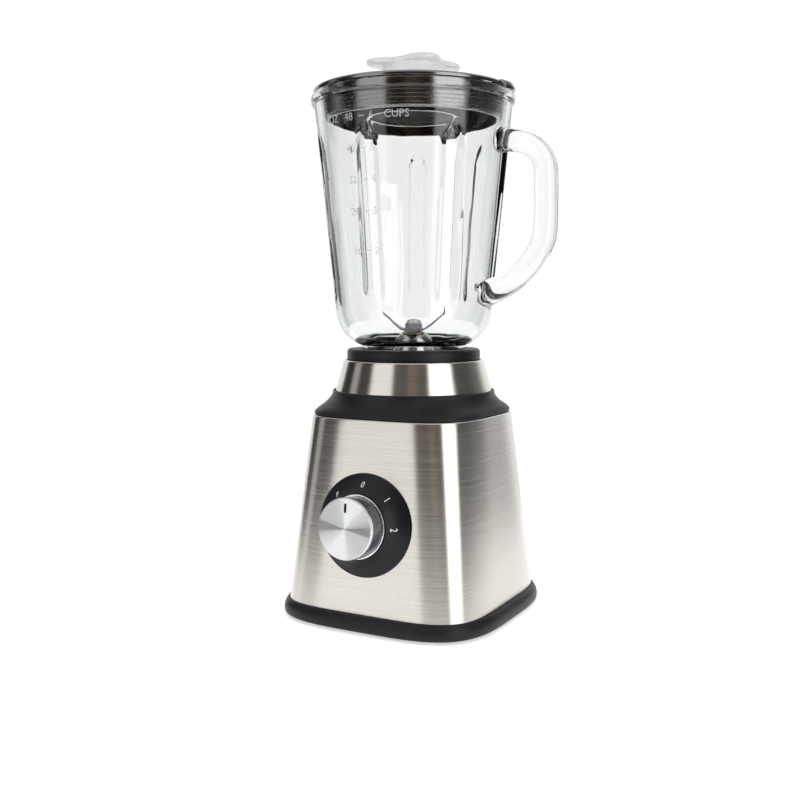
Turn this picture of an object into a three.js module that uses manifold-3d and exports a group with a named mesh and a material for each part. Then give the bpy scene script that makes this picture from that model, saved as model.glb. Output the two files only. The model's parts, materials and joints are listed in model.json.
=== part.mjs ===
// Countertop blender with a glass jug: a scene graph of separate pieces, in millimetres, +Z up.
// The jug's axis is upright, the dial faces -Y, the handle points along +X and the spout along -X.
import * as THREE from "three";
import { mergeVertices } from "three/addons/utils/BufferGeometryUtils.js";
import Module from "manifold-3d";

const wasm = await Module();
wasm.setup();

// ---------- driving dimensions ----------
const gap = 0.3; // between pieces that touch or slide

// heights, stacked from the table upwards
const bandLift = 1.5; // underside of the foot band above the table
const bandHeight = 11.7;
const shellHeight = 133.2;
const shoulderHeight = 17;
const ringHeight = 22;
const collarRise = 8.1; // collar showing above the trim ring
const jugRise = 180.3; // glass showing above the collar
const lidRise = 3.8; // lid rim
const capRise = 19.6; // cap grip above the lid

// widths, worked outwards from the jug's neck
const neckRadius = 38;
const glassWall = 4.2;
const collarWall = 7.6;
const collarLip = 2.6; // collar flange beyond its skirt
const seatWall = 2.8;
const ringFlare = 6.7; // trim ring, bottom beyond top
const ringWall = 1;
const shoulderRim = 1.4;
const shoulderFlare = 4.1; // shoulder's square foot beyond its round rim
const shellTaper = 12.7; // half width, bottom beyond top
const shellWall = 1.2;
const bandOverhang = 5.2;
const bowlStep = 18.9; // bowl beyond the neck
const bowlCorner = 27.6; // radius round the bottom of the bowl
const jugTaper = 14.7; // rim beyond the bowl
const shellTopPower = 3.5; // superellipse powers: 2 is a circle, more is squarer
const shellFootPower = 4.4;
const bandPower = 3.7;

// jug details
const fluteCount = 7;
const fluteDepth = 4;
const fluteHalfWidth = 8;
const fluteTop = 26; // pointed top below the rim
const fluteTurn = -90; // degrees round from +X to the flute over the dial
const spoutReach = 6;
const spoutHalfAngle = 0.38;
const handleReach = 29.3; // middle of the grip beyond the rim
const handleThick = 15;
const handleWide = 18.5;

// motor
const shaftRadius = 4;
const armatureRadius = 18;
const airGap = 0.7;
const stackHeight = 28;
const statorHalfX = 34;
const statorHalfY = 28;
const mountHeight = 10;
const bracketPlate = 3;
const upperLegs = 17;
const lowerLegs = 24;
const bearingRing = 5.5; // bearing, outside beyond its bore
const bearingHeight = 7;
const boltRadius = 2;
const fanRadius = 30;
const fanBlades = 8;

// blades and drive
const bladeShaftRadius = 3.5;
const bladeThickness = 1.5;
const couplingLobes = 6;
const couplingReach = 9.2;

// dial
const dialRadius = 35.9;
const dialRise = 10.4;
const dialHeight = 61.5; // centre above the foot of the shell
const knobRadius = 21.2;
const knobHeight = 15.5;
const spindleRadius = 3;

// lid and cap
const capHole = 31;
const lidSkirt = 18.5;
const lidSleeve = 16; // hangs round the measuring cap
const lidWall = 2.2;
const capFlange = 14.7;
const capWall = 2.2;
const gripLobes = 4;
const gripReach = 34.5;
const gripWaist = 24;

// fasteners and feet
const screwRadius = 1.8;
const screwHead = 3.5;
const postRadius = 5;
const footRadius = 9;

// ---------- derived levels ----------
const zShell = bandLift + bandHeight;
const zShoulder = zShell + shellHeight;
const zRing = zShoulder + shoulderHeight;
const zRingTop = zRing + ringHeight;
const zCollarTop = zRingTop + collarRise;
const zRim = zCollarTop + jugRise;
const zLid = zRim + gap;
const zLidTop = zLid + lidRise;
const zBowl = zCollarTop + bowlCorner + 1; // middle of the bowl's round corner
const zSeatFloor = zShoulder + 2.6;
const zSeatTop = zRingTop - gap;
const zShelf = zSeatFloor + 14;
const zNeck = zShelf + 8.8;

// ---------- derived radii ----------
const neckBore = neckRadius - glassWall;
const collarBore = neckRadius + 2 * gap;
const collarSkirt = collarBore + collarWall;
const collarFlange = collarSkirt + collarLip;
const seatBore = collarSkirt + gap;
const seatRadius = seatBore + seatWall;
const seatFlange = seatRadius + 3.7;
const ringTop = seatRadius + gap + ringWall + 0.7;
const ringFoot = ringTop + ringFlare;
const shoulderTop = ringFoot + gap + shoulderRim;
const shellTop = shoulderTop + shoulderFlare + 0.9;
const shellFoot = shellTop + shellTaper;
const bandHalf = shellFoot + bandOverhang;
const bowlRadius = neckRadius + bowlStep;
const rimRadius = bowlRadius + jugTaper;
const postOffset = (seatFlange + postRadius + 1.4) / Math.SQRT2;

// ---------- shape helpers ----------
// A closed three.js geometry as a solid, with its faces pointing out.
function solidOf(geometry) {
  const plain = new THREE.BufferGeometry();
  const source = geometry.index ? geometry.toNonIndexed() : geometry;
  plain.setAttribute("position", source.getAttribute("position"));
  const merged = mergeVertices(plain, 1e-4);
  const corners = [];
  for (let i = 0; i < merged.index.count; i += 3) {
    const [a, b, c] = merged.index.array.slice(i, i + 3);
    if (a !== b && b !== c && c !== a) corners.push(a, b, c);
  }
  const build = (triVerts) =>
    new wasm.Manifold(
      new wasm.Mesh({
        numProp: 3,
        vertProperties: merged.attributes.position.array,
        triVerts: new Uint32Array(triVerts),
      }),
    );
  const solid = build(corners);
  return solid.volume() < 0 ? build(corners.reverse()) : solid;
}

function geometryOf(solid) {
  const { vertProperties, triVerts } = solid.getMesh();
  const geometry = new THREE.BufferGeometry();
  const positions = new THREE.BufferAttribute(new Float32Array(vertProperties), 3);
  geometry.setAttribute("position", positions);
  geometry.setIndex(new THREE.BufferAttribute(new Uint32Array(triVerts), 1));
  const faceted = geometry.toNonIndexed();
  faceted.computeVertexNormals();
  return faceted;
}

// A profile of [radius, z] turned about Z; off the axis it closes on itself.
function turnedGeometry(profile, sides = 24) {
  const points = profile.map(([r, z]) => new THREE.Vector2(r, z));
  if (profile[0][0] > 0) points.push(points[0].clone());
  return new THREE.LatheGeometry(points, sides).rotateX(Math.PI / 2);
}

function turned(profile, sides) {
  return solidOf(turnedGeometry(profile, sides));
}

// Radius of a superellipse of the given half width at an angle.
function squircle(half, power, angle) {
  const spread = Math.abs(Math.cos(angle)) ** power + Math.abs(Math.sin(angle)) ** power;
  return half / spread ** (1 / power);
}

// As turned, with each [half width, z, power] of the profile following its own superellipse.
function squircled(profile, sides = 32) {
  const geometry = turnedGeometry(profile, sides);
  const place = geometry.getAttribute("position");
  const rings = profile.length + (profile[0][0] > 0 ? 1 : 0);
  for (let i = 0; i < place.count; i++) {
    const [half, , power] = profile[(i % rings) % profile.length];
    const angle = Math.atan2(place.getY(i), place.getX(i));
    const radius = half > 0 ? squircle(half, power, angle) : 0;
    place.setXY(i, radius * Math.cos(angle), radius * Math.sin(angle));
  }
  return solidOf(geometry);
}

function rod(radius, low, high, sides = 16) {
  const geometry = new THREE.CylinderGeometry(radius, radius, high - low, sides);
  return solidOf(geometry.rotateX(Math.PI / 2).translate(0, 0, (low + high) / 2));
}

function block(low, high) {
  const size = high.map((v, i) => v - low[i]);
  const middle = high.map((v, i) => (v + low[i]) / 2);
  return solidOf(new THREE.BoxGeometry(...size).translate(...middle));
}

function slab(shape, low, high, curveSegments = 6) {
  const options = { depth: high - low, bevelEnabled: false, curveSegments };
  return solidOf(new THREE.ExtrudeGeometry(shape, options).translate(0, 0, low));
}

function roundedRectangle(halfX, halfY, corner) {
  const shape = new THREE.Shape();
  shape.moveTo(halfX, -halfY + corner);
  shape.absarc(halfX - corner, halfY - corner, corner, 0, Math.PI / 2);
  shape.absarc(-halfX + corner, halfY - corner, corner, Math.PI / 2, Math.PI);
  shape.absarc(-halfX + corner, -halfY + corner, corner, Math.PI, 1.5 * Math.PI);
  shape.absarc(halfX - corner, -halfY + corner, corner, 1.5 * Math.PI, 2 * Math.PI);
  return shape;
}

// An outline whose radius swings between waist and reach, count times round.
function lobedOutline(waist, reach, count, phase = 0, steps = 12) {
  const points = [];
  for (let i = 0; i < count * steps; i++) {
    const angle = (i * 2 * Math.PI) / (count * steps);
    const swing = 0.5 + 0.5 * Math.cos(count * (angle - phase));
    const radius = waist + (reach - waist) * swing;
    points.push(new THREE.Vector2(radius * Math.cos(angle), radius * Math.sin(angle)));
  }
  return new THREE.Shape(points);
}

function moved(solid, x, y, z = 0) {
  return solid.translate([x, y, z]);
}

function around(solid, angle) {
  return solid.rotate([0, 0, (angle * 180) / Math.PI]);
}

function joined(...solids) {
  return solids.reduce((sum, solid) => sum.add(solid));
}

function cut(solid, ...tools) {
  return tools.reduce((rest, tool) => rest.subtract(tool), solid);
}

const fourCorners = (offset) => [
  [offset, offset],
  [-offset, offset],
  [-offset, -offset],
  [offset, -offset],
];

// ---------- finishes ----------
const finish = (color, roughness, metalness) => ({ color, roughness, metalness });
const finishes = {
  blackPlastic: finish(0x1f2124, 0.45, 0),
  rubber: finish(0x18191a, 0.9, 0),
  brushedSteel: finish(0xb9b2a6, 0.32, 1),
  polishedSteel: finish(0xc9c9c9, 0.15, 1),
  aluminium: finish(0xd6d8da, 0.25, 1),
  chrome: finish(0xdedede, 0.08, 1),
  glass: finish(0xdfe9e6, 0.03, 0),
  clearPlastic: finish(0xe8eef0, 0.08, 0),
  iron: finish(0x7c7f83, 0.55, 0.8),
  copper: finish(0xb56a3a, 0.35, 1),
  bronze: finish(0xa9803f, 0.4, 1),
  carbon: finish(0x2b2b2c, 0.8, 0),
  ivoryPlastic: finish(0xd9d4c4, 0.5, 0),
  whiteMark: finish(0xe9e9e6, 0.6, 0),
};

const model = new THREE.Group();

function addPiece(name, solid, finishName, parent = model) {
  const material = new THREE.MeshStandardMaterial(finishes[finishName]);
  const mesh = new THREE.Mesh(geometryOf(solid), material);
  mesh.name = name;
  parent.add(mesh);
  return mesh;
}

// ---------- shell and housing ----------
const shellSlope = shellTaper / shellHeight;
const shellTilt = Math.atan(shellSlope);
const shellHalfAt = (z) => shellFoot - (z - zShell) * shellSlope;
const coverHalf = shellFoot - 4;
const zCover = bandLift + 1.5;
const coverPlate = 2.5;
const zLedge = zCover + coverPlate + gap;
const ledgePlate = 2.5;
const zPost = zLedge + ledgePlate + gap;

function footBand() {
  const locating = 4; // lip inside the foot of the shell
  const lip = shellHalfAt(zShell + locating) - shellWall - 2 * gap;
  const top = zShell - gap;
  const ring = squircled([
    [bandHalf - 1.6, bandLift, bandPower],
    [bandHalf + 0.2, bandLift + 0.7, bandPower],
    [bandHalf + 0.8, bandLift + 2.6, bandPower],
    [bandHalf - 0.2, bandLift + 7.6, bandPower],
    [bandHalf - 1.6, top - 0.8, bandPower],
    [bandHalf - 2.4, top, bandPower],
    [lip, top, shellFootPower],
    [lip, top + locating, shellFootPower],
    [lip - 1.6, top + locating, shellFootPower],
    [lip - 1.6, zLedge + ledgePlate, shellFootPower],
    [postOffset - postRadius - 3, zLedge + ledgePlate, shellFootPower],
    [postOffset - postRadius - 3, zLedge, shellFootPower],
    [coverHalf + gap, zLedge, shellFootPower],
    [coverHalf + gap, bandLift, shellFootPower],
  ]);
  const hole = rod(screwRadius + gap, 0, zPost, 8);
  const footWell = rod(footHead + 2 * gap, 0, zPost, 10);
  return cut(
    ring,
    ...fourCorners(postOffset).map(([x, y]) => moved(hole, x, y)),
    ...fourCorners(footOffset).map(([x, y]) => moved(footWell, x, y)),
  );
}

const footOffset = coverHalf - 1.41 * footRadius - 6.6;
const footStem = 3;
const footHead = 4.2;

function bottomCover() {
  const ventHalfLength = 24;
  const ventPitch = 12;
  let plate = squircled([
    [0, zCover, shellFootPower],
    [coverHalf, zCover, shellFootPower],
    [coverHalf, zCover + coverPlate, shellFootPower],
    [0, zCover + coverPlate, shellFootPower],
  ]);
  for (let row = -2; row <= 2; row++) {
    const vent = slab(roundedRectangle(ventHalfLength, 3, 2.9), 0, zLedge, 1);
    plate = cut(plate, moved(vent, 0, row * ventPitch));
  }
  const screwHole = rod(screwRadius + gap, 0, zLedge, 8);
  const footHole = rod(footStem + gap, 0, zLedge, 10);
  const holes = [
    ...fourCorners(postOffset).map(([x, y]) => moved(screwHole, x, y)),
    ...fourCorners(footOffset).map(([x, y]) => moved(footHole, x, y)),
  ];
  return cut(plate, ...holes);
}

function rubberFoot() {
  const plateTop = zCover + coverPlate + gap;
  return turned(
    [
      [0, 0],
      [footRadius - 1.5, 0],
      [footRadius, zCover - gap],
      [footStem, zCover - gap],
      [footStem, plateTop],
      [footHead, plateTop],
      [footStem - 0.8, plateTop + 3],
      [0, plateTop + 3],
    ],
    10,
  );
}

function coverScrew() {
  return turned(
    [
      [0, zCover - gap - 1.8],
      [screwHead - 0.6, zCover - gap - 1.8],
      [screwHead, zCover - gap - 0.8],
      [screwHead, zCover - gap],
      [screwRadius, zCover - gap],
      [screwRadius, zPost + 10],
      [0, zPost + 11],
    ],
    10,
  );
}

// The dial and the cord gland stand square to the sloping shell, on its front and back.
function frontFrame() {
  const group = new THREE.Group();
  const z = zShell + dialHeight;
  group.position.set(0, -shellHalfAt(z), z);
  group.rotation.x = Math.PI / 2 - shellTilt;
  group.updateMatrix();
  return group;
}

const glandHeight = 17;
function rearFrame() {
  const group = new THREE.Group();
  const z = zShell + glandHeight;
  group.position.set(0, shellHalfAt(z), z);
  group.rotation.x = -(Math.PI / 2 - shellTilt);
  group.updateMatrix();
  return group;
}

const bushRadius = spindleRadius + 1.8;
const glandBore = 4.2;
const glandSleeve = glandBore + 2.4;

function drilled(radius, frame) {
  const drill = new THREE.CylinderGeometry(radius, radius, 30, 24).rotateX(Math.PI / 2);
  return solidOf(drill.applyMatrix4(frame.matrix));
}

function steelShell(front, rear) {
  const roll = 1.1;
  const skin = squircled([
    [shellFoot, zShell, shellFootPower],
    [(shellFoot + shellTop) / 2, (zShell + zShoulder) / 2, (shellFootPower + shellTopPower) / 2],
    [shellTop + roll * shellSlope, zShoulder - roll, shellTopPower],
    [shellTop - 0.3, zShoulder - 0.3, shellTopPower],
    [shellTop - roll, zShoulder, shellTopPower],
    [shellTop - 3.4, zShoulder, shellTopPower],
    [shellTop - 3.4, zShoulder - shellWall, shellTopPower],
    [shellTop - shellWall - 0.2, zShoulder - shellWall, shellTopPower],
    [
      (shellFoot + shellTop) / 2 - shellWall,
      (zShell + zShoulder) / 2,
      (shellFootPower + shellTopPower) / 2,
    ],
    [shellFoot - shellWall, zShell, shellFootPower],
  ]);
  return cut(skin, drilled(bushRadius + gap, front), drilled(glandSleeve + gap, rear));
}

const zShoulderLedge = zRing - 5.4;
const shoulderLedge = 3;

function shoulder() {
  const low = zShoulder + gap;
  const foot = shellTop - 1;
  const wall = 2.6;
  const outer = [
    [foot, low, 3.5],
    [foot - 0.2, low + 1.8, 3.5],
    [foot - 1.7, low + 4.8, 3.1],
    [shoulderTop + 0.8, low + 8.3, 2.6],
    [shoulderTop + 0.2, low + 11.8, 2.2],
    [shoulderTop, zRing - 2, 2],
    [shoulderTop, zRing - 0.3, 2],
  ];
  const skin = squircled([
    ...outer,
    [shoulderTop - 0.3, zRing, 2],
    [shoulderTop - shoulderRim, zRing, 2],
    [shoulderTop - shoulderRim, zShoulderLedge + shoulderLedge, 2],
    [seatRadius + gap, zShoulderLedge + shoulderLedge, 2],
    [seatRadius + gap, zShoulderLedge, 2],
    [shoulderTop - wall, zShoulderLedge, 2.2],
    [shoulderTop - wall + 1.2, low + 7, 2.8],
    [foot - wall, low, 3.5],
  ]);
  const post = cut(
    rod(postRadius, zPost, zShoulderLedge + 1, 8),
    rod(screwRadius + gap, zPost - 1, zPost + 14, 8),
  );
  const within = squircled([
    [0, zPost - 1, 3.5],
    [foot - wall, zPost - 1, 3.5],
    [foot - wall, low, 3.5],
    ...outer.map(([half, z, power]) => [half - wall / 2, z, power]),
    [0, zRing, 2],
  ]);
  const posts = fourCorners(postOffset).map(([x, y]) => moved(post, x, y).intersect(within));
  return joined(skin, ...posts);
}

function trimRing() {
  const foot = zShoulderLedge + shoulderLedge + gap;
  return turned(
    [
      [ringFoot, foot],
      [ringTop + 0.6, zRingTop - 1.2],
      [ringTop, zRingTop - 0.3],
      [ringTop - 0.6, zRingTop],
      [seatRadius + gap, zRingTop],
      [seatRadius + gap, zRingTop - ringWall],
      [ringTop - 0.6, zRingTop - ringWall - 0.4],
      [ringFoot - ringWall, foot],
    ],
    32,
  );
}

const seatFloor = 2.5;
const shaftHole = shaftRadius + 2.3;
const zSeatInside = zSeatFloor + seatFloor;
const lugHalfWidth = 2.5;
const lugDepth = 1.9;
const zLugTop = zSeatTop - 7;

function jugSeat() {
  const cup = turned(
    [
      [shaftHole, zSeatFloor],
      [seatRadius - 1.5, zSeatFloor],
      [seatRadius, zSeatFloor + 1.5],
      [seatRadius, zShoulderLedge - 3 - gap],
      [seatFlange, zShoulderLedge - 3 - gap],
      [seatFlange, zShoulderLedge - gap],
      [seatRadius, zShoulderLedge - gap],
      [seatRadius, zSeatTop],
      [seatBore, zSeatTop],
      [seatBore, zSeatInside],
      [shaftHole + 3, zSeatInside],
      [shaftHole + 3, zSeatInside + 4],
      [shaftHole, zSeatInside + 4],
    ],
    32,
  );
  const low = [seatBore - lugDepth, -lugHalfWidth, zSeatInside - 1];
  const high = [seatBore + seatWall / 2, lugHalfWidth, zLugTop];
  const lug = block(low, high);
  const lugs = [1, 3, 5, 7].map((n) => around(lug, (n * Math.PI) / 4));
  return joined(cup, ...lugs);
}

// ---------- dial, switch and gland ----------
// The dial's hollow flare, as shares of its width and of its rise.
const flareSteps = [
  [0.28, 0.22],
  [0.52, 0.4],
  [0.76, 0.64],
];

function dialPlate(front) {
  const flare = dialRadius - knobRadius - 2;
  const profile = [
    [bushRadius + gap, -3],
    [dialRadius, -3],
    [dialRadius, 0.7],
    ...flareSteps.map(([inward, up]) => [dialRadius - flare * inward, dialRise * up]),
    [knobRadius + 2.3, dialRise - 0.5],
    [knobRadius + 1.6, dialRise],
    [bushRadius + gap, dialRise],
  ];
  const disc = solidOf(turnedGeometry(profile, 32).applyMatrix4(front.matrix));
  const inside = squircled([
    [0, zShell, shellFootPower],
    [shellFoot + gap, zShell, shellFootPower],
    [
      (shellFoot + shellTop) / 2 + gap,
      (zShell + zShoulder) / 2,
      (shellFootPower + shellTopPower) / 2,
    ],
    [shellTop + gap, zShoulder, shellTopPower],
    [0, zShoulder, shellTopPower],
  ]);
  return cut(disc, inside);
}

function rotarySwitch() {
  const back = -18.5;
  const face = -3.5;
  const body = block([-14, -12, back], [14, 12, face]);
  const bush = rod(bushRadius, face - 1, dialRise - 1.4, 20);
  const bore = rod(spindleRadius + gap, back + 6, dialRise, 20);
  return cut(joined(body, bush), bore);
}

function switchSpindle() {
  const flat = block([1.6, -5, dialRise + 2], [5, 5, 30]);
  const stem = rod(spindleRadius, -11.5, dialRise + knobHeight - 3.2, 20);
  return cut(stem, flat);
}

const knobFoot = dialRise + 0.5;
const knobFaceThick = 2.6;
const baseRingThick = 1.2;

function knobBaseRing() {
  return turned(
    [
      [knobRadius - 4, knobFoot],
      [knobRadius + 0.9, knobFoot],
      [knobRadius + 0.9, knobFoot + baseRingThick - 0.3],
      [knobRadius + 0.5, knobFoot + baseRingThick],
      [knobRadius - 4, knobFoot + baseRingThick],
    ],
    24,
  );
}

function speedKnob() {
  const low = knobFoot + baseRingThick + gap;
  const high = knobFoot + knobHeight - knobFaceThick - gap;
  const body = turned(
    [
      [spindleRadius + gap, knobFoot],
      [knobRadius - 4 - gap, knobFoot],
      [knobRadius - 4 - gap, low],
      [knobRadius, low],
      [knobRadius - 0.3, high],
      [spindleRadius + gap, high],
    ],
    24,
  );
  const key = block([1.6 + gap, -3, dialRise + 2.6], [spindleRadius + 1.3, 3, high]);
  return joined(body, key);
}

const pointerLow = [-0.7, 11.2, 0];
const pointerHigh = [0.7, 16.8, 0.8];

function knobFace() {
  const high = knobFoot + knobHeight;
  const low = high - knobFaceThick;
  const disc = turned(
    [
      [0, low],
      [knobRadius - 0.2, low],
      [knobRadius - 0.2, low + 0.8],
      [knobRadius - 0.9, high],
      [0, high],
    ],
    24,
  );
  const recess = block(
    [pointerLow[0] - gap, pointerLow[1] - gap, high - pointerHigh[2] - gap],
    [pointerHigh[0] + gap, pointerHigh[1] + gap, high + 1],
  );
  return cut(disc, recess);
}

function knobPointer() {
  const high = knobFoot + knobHeight;
  return block(
    [pointerLow[0], pointerLow[1], high - pointerHigh[2]],
    [pointerHigh[0], pointerHigh[1], high],
  );
}

function cordGland() {
  return turned(
    [
      [glandBore, -6],
      [glandSleeve + 2, -6],
      [glandSleeve + 2, -shellWall - 2 * gap],
      [glandSleeve, -shellWall - 2 * gap],
      [glandSleeve, gap],
      [glandSleeve + 2.6, gap],
      [glandSleeve + 2.2, 2.4],
      [glandBore, 2.4],
    ],
    14,
  );
}

// ---------- motor ----------
const zTopBracket = zSeatFloor - gap - mountHeight - gap; // top face of the upper bracket
const zStatorTop = zTopBracket - bracketPlate - upperLegs - gap;
const zStator = zStatorTop - stackHeight;
const zLowPlate = zStator - gap - lowerLegs; // top face of the lower bracket
const zLowUnder = zLowPlate - bracketPlate;
const zShaftFoot = zLowUnder - 22;
const zDrive = zSeatInside + 5; // underside of the drive coupling
const driveHeight = 10;
const statorBore = armatureRadius + airGap;
const poleShoe = statorBore + 3.2;
const yoke = 5.5;
const poleHalf = 10.5;
const coilWall = 5;
const bearingRadius = shaftRadius + gap + bearingRing;
const boltOffset = [statorHalfX - 4, statorHalfY - 4];
const legPlaces = [
  [boltOffset[0], boltOffset[1]],
  [-boltOffset[0], boltOffset[1]],
  [-boltOffset[0], -boltOffset[1]],
  [boltOffset[0], -boltOffset[1]],
];

function statorCore() {
  const window = roundedRectangle(statorHalfX - yoke, statorHalfY - yoke, 4);
  let core = cut(
    slab(roundedRectangle(statorHalfX, statorHalfY, 6), zStator, zStatorTop, 2),
    slab(window, zStator - 1, zStatorTop + 1, 1),
  );
  const shoe = new THREE.Shape();
  shoe.absarc(0, 0, poleShoe, -0.95, 0.95);
  shoe.absarc(0, 0, statorBore, 0.95, -0.95, true);
  const pole = joined(
    slab(shoe, zStator, zStatorTop, 5),
    block([poleShoe - 1, -poleHalf, zStator], [statorHalfX - yoke + 1, poleHalf, zStatorTop]),
  );
  core = joined(core, pole, around(pole, Math.PI));
  const hole = rod(boltRadius + gap, zStator - 1, zStatorTop + 1, 8);
  return cut(core, ...legPlaces.map(([x, y]) => moved(hole, x, y)));
}

// One coil round each pole, standing clear of the iron above and below.
function fieldCoil(side) {
  const middle = (zStator + zStatorTop) / 2;
  const holeY = poleHalf + gap;
  const holeZ = stackHeight / 2 + gap;
  const outerY = Math.min(holeY + coilWall, statorHalfY - yoke - gap);
  const ring = roundedRectangle(outerY, holeZ + coilWall, 4);
  ring.holes.push(roundedRectangle(holeY, holeZ, 1));
  const thick = statorHalfX - yoke - poleShoe - 2 * gap;
  const coil = new THREE.ExtrudeGeometry(ring, {
    depth: thick,
    bevelEnabled: false,
    curveSegments: 3,
  });
  coil.rotateX(Math.PI / 2).rotateZ(Math.PI / 2);
  coil.translate(poleShoe + gap, 0, middle);
  const solid = solidOf(coil);
  return side > 0 ? solid : around(solid, Math.PI);
}

function bracket(plateLow, plateHigh, legLow, legHigh, hubLow, hubHigh) {
  const plate = slab(roundedRectangle(statorHalfX, statorHalfY, 6), plateLow, plateHigh, 2);
  const hub = rod(bearingRadius + gap + 2.7, hubLow, hubHigh);
  const leg = rod(3.4, legLow, legHigh, 8);
  const hole = rod(boltRadius + gap, plateLow - 30, plateHigh + 30, 8);
  const body = joined(plate, hub, ...legPlaces.map(([x, y]) => moved(leg, x, y)));
  const holes = legPlaces.map(([x, y]) => moved(hole, x, y));
  const pocket = rod(bearingRadius + gap, plateLow - 20, plateHigh + 20);
  return cut(body, pocket, ...holes);
}

function topBracket() {
  const plateLow = zTopBracket - bracketPlate;
  return bracket(
    plateLow,
    zTopBracket,
    zStatorTop + gap,
    plateLow + 1,
    plateLow - bearingHeight,
    zTopBracket,
  );
}

const brushSize = 3; // half of a brush's square section
const holderWall = 1.5;
const commutatorRadius = shaftRadius + 7;
const commutatorHeight = 12;
const zCommutator = zLowPlate + 3.5;
const zBrush = zCommutator + commutatorHeight / 2;

function bottomBracket() {
  const body = bracket(
    zLowUnder,
    zLowPlate,
    zLowPlate - 1,
    zStator - gap,
    zLowUnder - bearingHeight + 1,
    zLowPlate,
  );
  const top = zBrush - brushSize - holderWall - 2 * gap;
  const inner = bearingRadius + gap + 2;
  const step = block([-5, inner, zLowPlate - 1], [5, inner + 9, top]);
  return joined(body, step, around(step, Math.PI));
}

function bearing(low) {
  const bore = shaftRadius + gap;
  return turned(
    [
      [bore, low],
      [bearingRadius, low],
      [bearingRadius, low + bearingHeight],
      [bore, low + bearingHeight],
    ],
    16,
  );
}

function brushHolder() {
  const outer = brushSize + gap + holderWall;
  const inner = brushSize + gap;
  const start = commutatorRadius + 1.6;
  const end = start + 17;
  const tube = block([-outer, start, zBrush - outer], [outer, end, zBrush + outer]);
  return cut(tube, block([-inner, start - 1, zBrush - inner], [inner, end + 1, zBrush + inner]));
}

function carbonBrush() {
  const start = commutatorRadius + 2 * gap;
  return block([-brushSize, start, zBrush - brushSize], [brushSize, start + 13, zBrush + brushSize]);
}

function motorBolt() {
  const head = zLowUnder - gap;
  return turned(
    [
      [0, head - 2.5],
      [3.3, head - 2.5],
      [3.3, head],
      [boltRadius, head],
      [boltRadius, zTopBracket - 0.5],
      [0, zTopBracket - 0.5],
    ],
    10,
  );
}

function motorMount() {
  const low = zTopBracket + gap;
  const high = zSeatFloor - gap;
  const middle = (low + high) / 2;
  return turned(
    [
      [0, low],
      [6, low],
      [4.6, middle],
      [6, high],
      [0, high],
    ],
    10,
  );
}

// ---------- rotor ----------
const sleeveBore = shaftRadius + gap;

function motorShaft() {
  return rod(shaftRadius, zShaftFoot, zDrive + 2, 20);
}

function armatureCore() {
  const slots = 12;
  const outline = new THREE.Shape();
  for (let i = 0; i < slots; i++) {
    const start = (i * 2 * Math.PI) / slots;
    const tooth = start + (0.72 * 2 * Math.PI) / slots;
    const end = start + (2 * Math.PI) / slots;
    outline.absarc(0, 0, armatureRadius, start, tooth);
    outline.absarc(0, 0, armatureRadius - 6, tooth, end);
  }
  const core = slab(outline, zStator, zStatorTop, 2);
  return cut(core, rod(sleeveBore, zStator - 1, zStatorTop + 1));
}

function windingHead(low, high) {
  const full = armatureRadius - 2;
  const soft = (high - low) / 4;
  return turned(
    [
      [sleeveBore, low],
      [full - 2, low],
      [full, low + soft],
      [full, high - soft],
      [full - 2, high],
      [sleeveBore, high],
    ],
    16,
  );
}

function commutator() {
  const high = zCommutator + commutatorHeight;
  return turned(
    [
      [sleeveBore, zCommutator],
      [commutatorRadius, zCommutator],
      [commutatorRadius, high - 2],
      [commutatorRadius + 0.5, high],
      [sleeveBore, high],
    ],
    16,
  );
}

const fanHeight = 9;
function coolingFan() {
  const low = zShaftFoot + 2;
  const disc = turned(
    [
      [sleeveBore, low],
      [sleeveBore + 4, low],
      [sleeveBore + 4, low + fanHeight - 2.5],
      [fanRadius, low + fanHeight - 1.8],
      [fanRadius, low + fanHeight],
      [sleeveBore, low + fanHeight],
    ],
    24,
  );
  const blade = block([sleeveBore + 3, -0.8, low], [fanRadius - 1, 0.8, low + fanHeight - 1]);
  const leaned = moved(around(blade, 0.3), 0, -4);
  const blades = [];
  for (let i = 0; i < fanBlades; i++) blades.push(around(leaned, (i * 2 * Math.PI) / fanBlades));
  return joined(disc, ...blades);
}

const socketFloor = zDrive + 3.2;
function driveCoupling() {
  const outer = couplingReach + 4.8;
  const body = turned(
    [
      [sleeveBore, zDrive],
      [outer - 1, zDrive],
      [outer, zDrive + 1],
      [outer, zDrive + driveHeight - 1],
      [outer - 1, zDrive + driveHeight],
      [sleeveBore, zDrive + driveHeight],
    ],
    24,
  );
  const clear = 2 * gap;
  const star = lobedOutline(couplingReach - 2 + clear, couplingReach + clear, couplingLobes, 0, 4);
  return cut(body, slab(star, socketFloor, zDrive + driveHeight + 1));
}

// ---------- jug ----------
const jugSides = 56;
const jugRadiusAt = (z) => bowlRadius + ((z - zBowl) * jugTaper) / (zRim - zBowl);
const smooth = (t) => {
  const s = Math.min(Math.max(t, 0), 1);
  return s * s * (3 - 2 * s);
};

// Flutes pressed into the wall, with pointed tops, and the spout pushed out of the rim.
function jugPush(angle, z, radius) {
  const spacing = (2 * Math.PI) / fluteCount;
  const first = THREE.MathUtils.degToRad(fluteTurn);
  const nearest = Math.round((angle - first) / spacing) * spacing + first;
  const side = Math.abs(angle - nearest) * radius;
  const below = zRim - fluteTop - z;
  const arch = fluteHalfWidth * Math.sqrt(smooth(below / 24));
  const depth = arch > 0.01 ? fluteDepth * smooth(below / 22) * smooth(1 - side / arch) : 0;
  const fade = smooth((z - zBowl + bowlCorner - 6) / 18);
  const fromSpout = (Math.PI - Math.abs(angle)) / spoutHalfAngle;
  const lip = smooth(1 - (zRim - z) / 30) ** 1.5;
  return spoutReach * Math.exp(-fromSpout * fromSpout) * lip - depth * fade;
}

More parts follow.
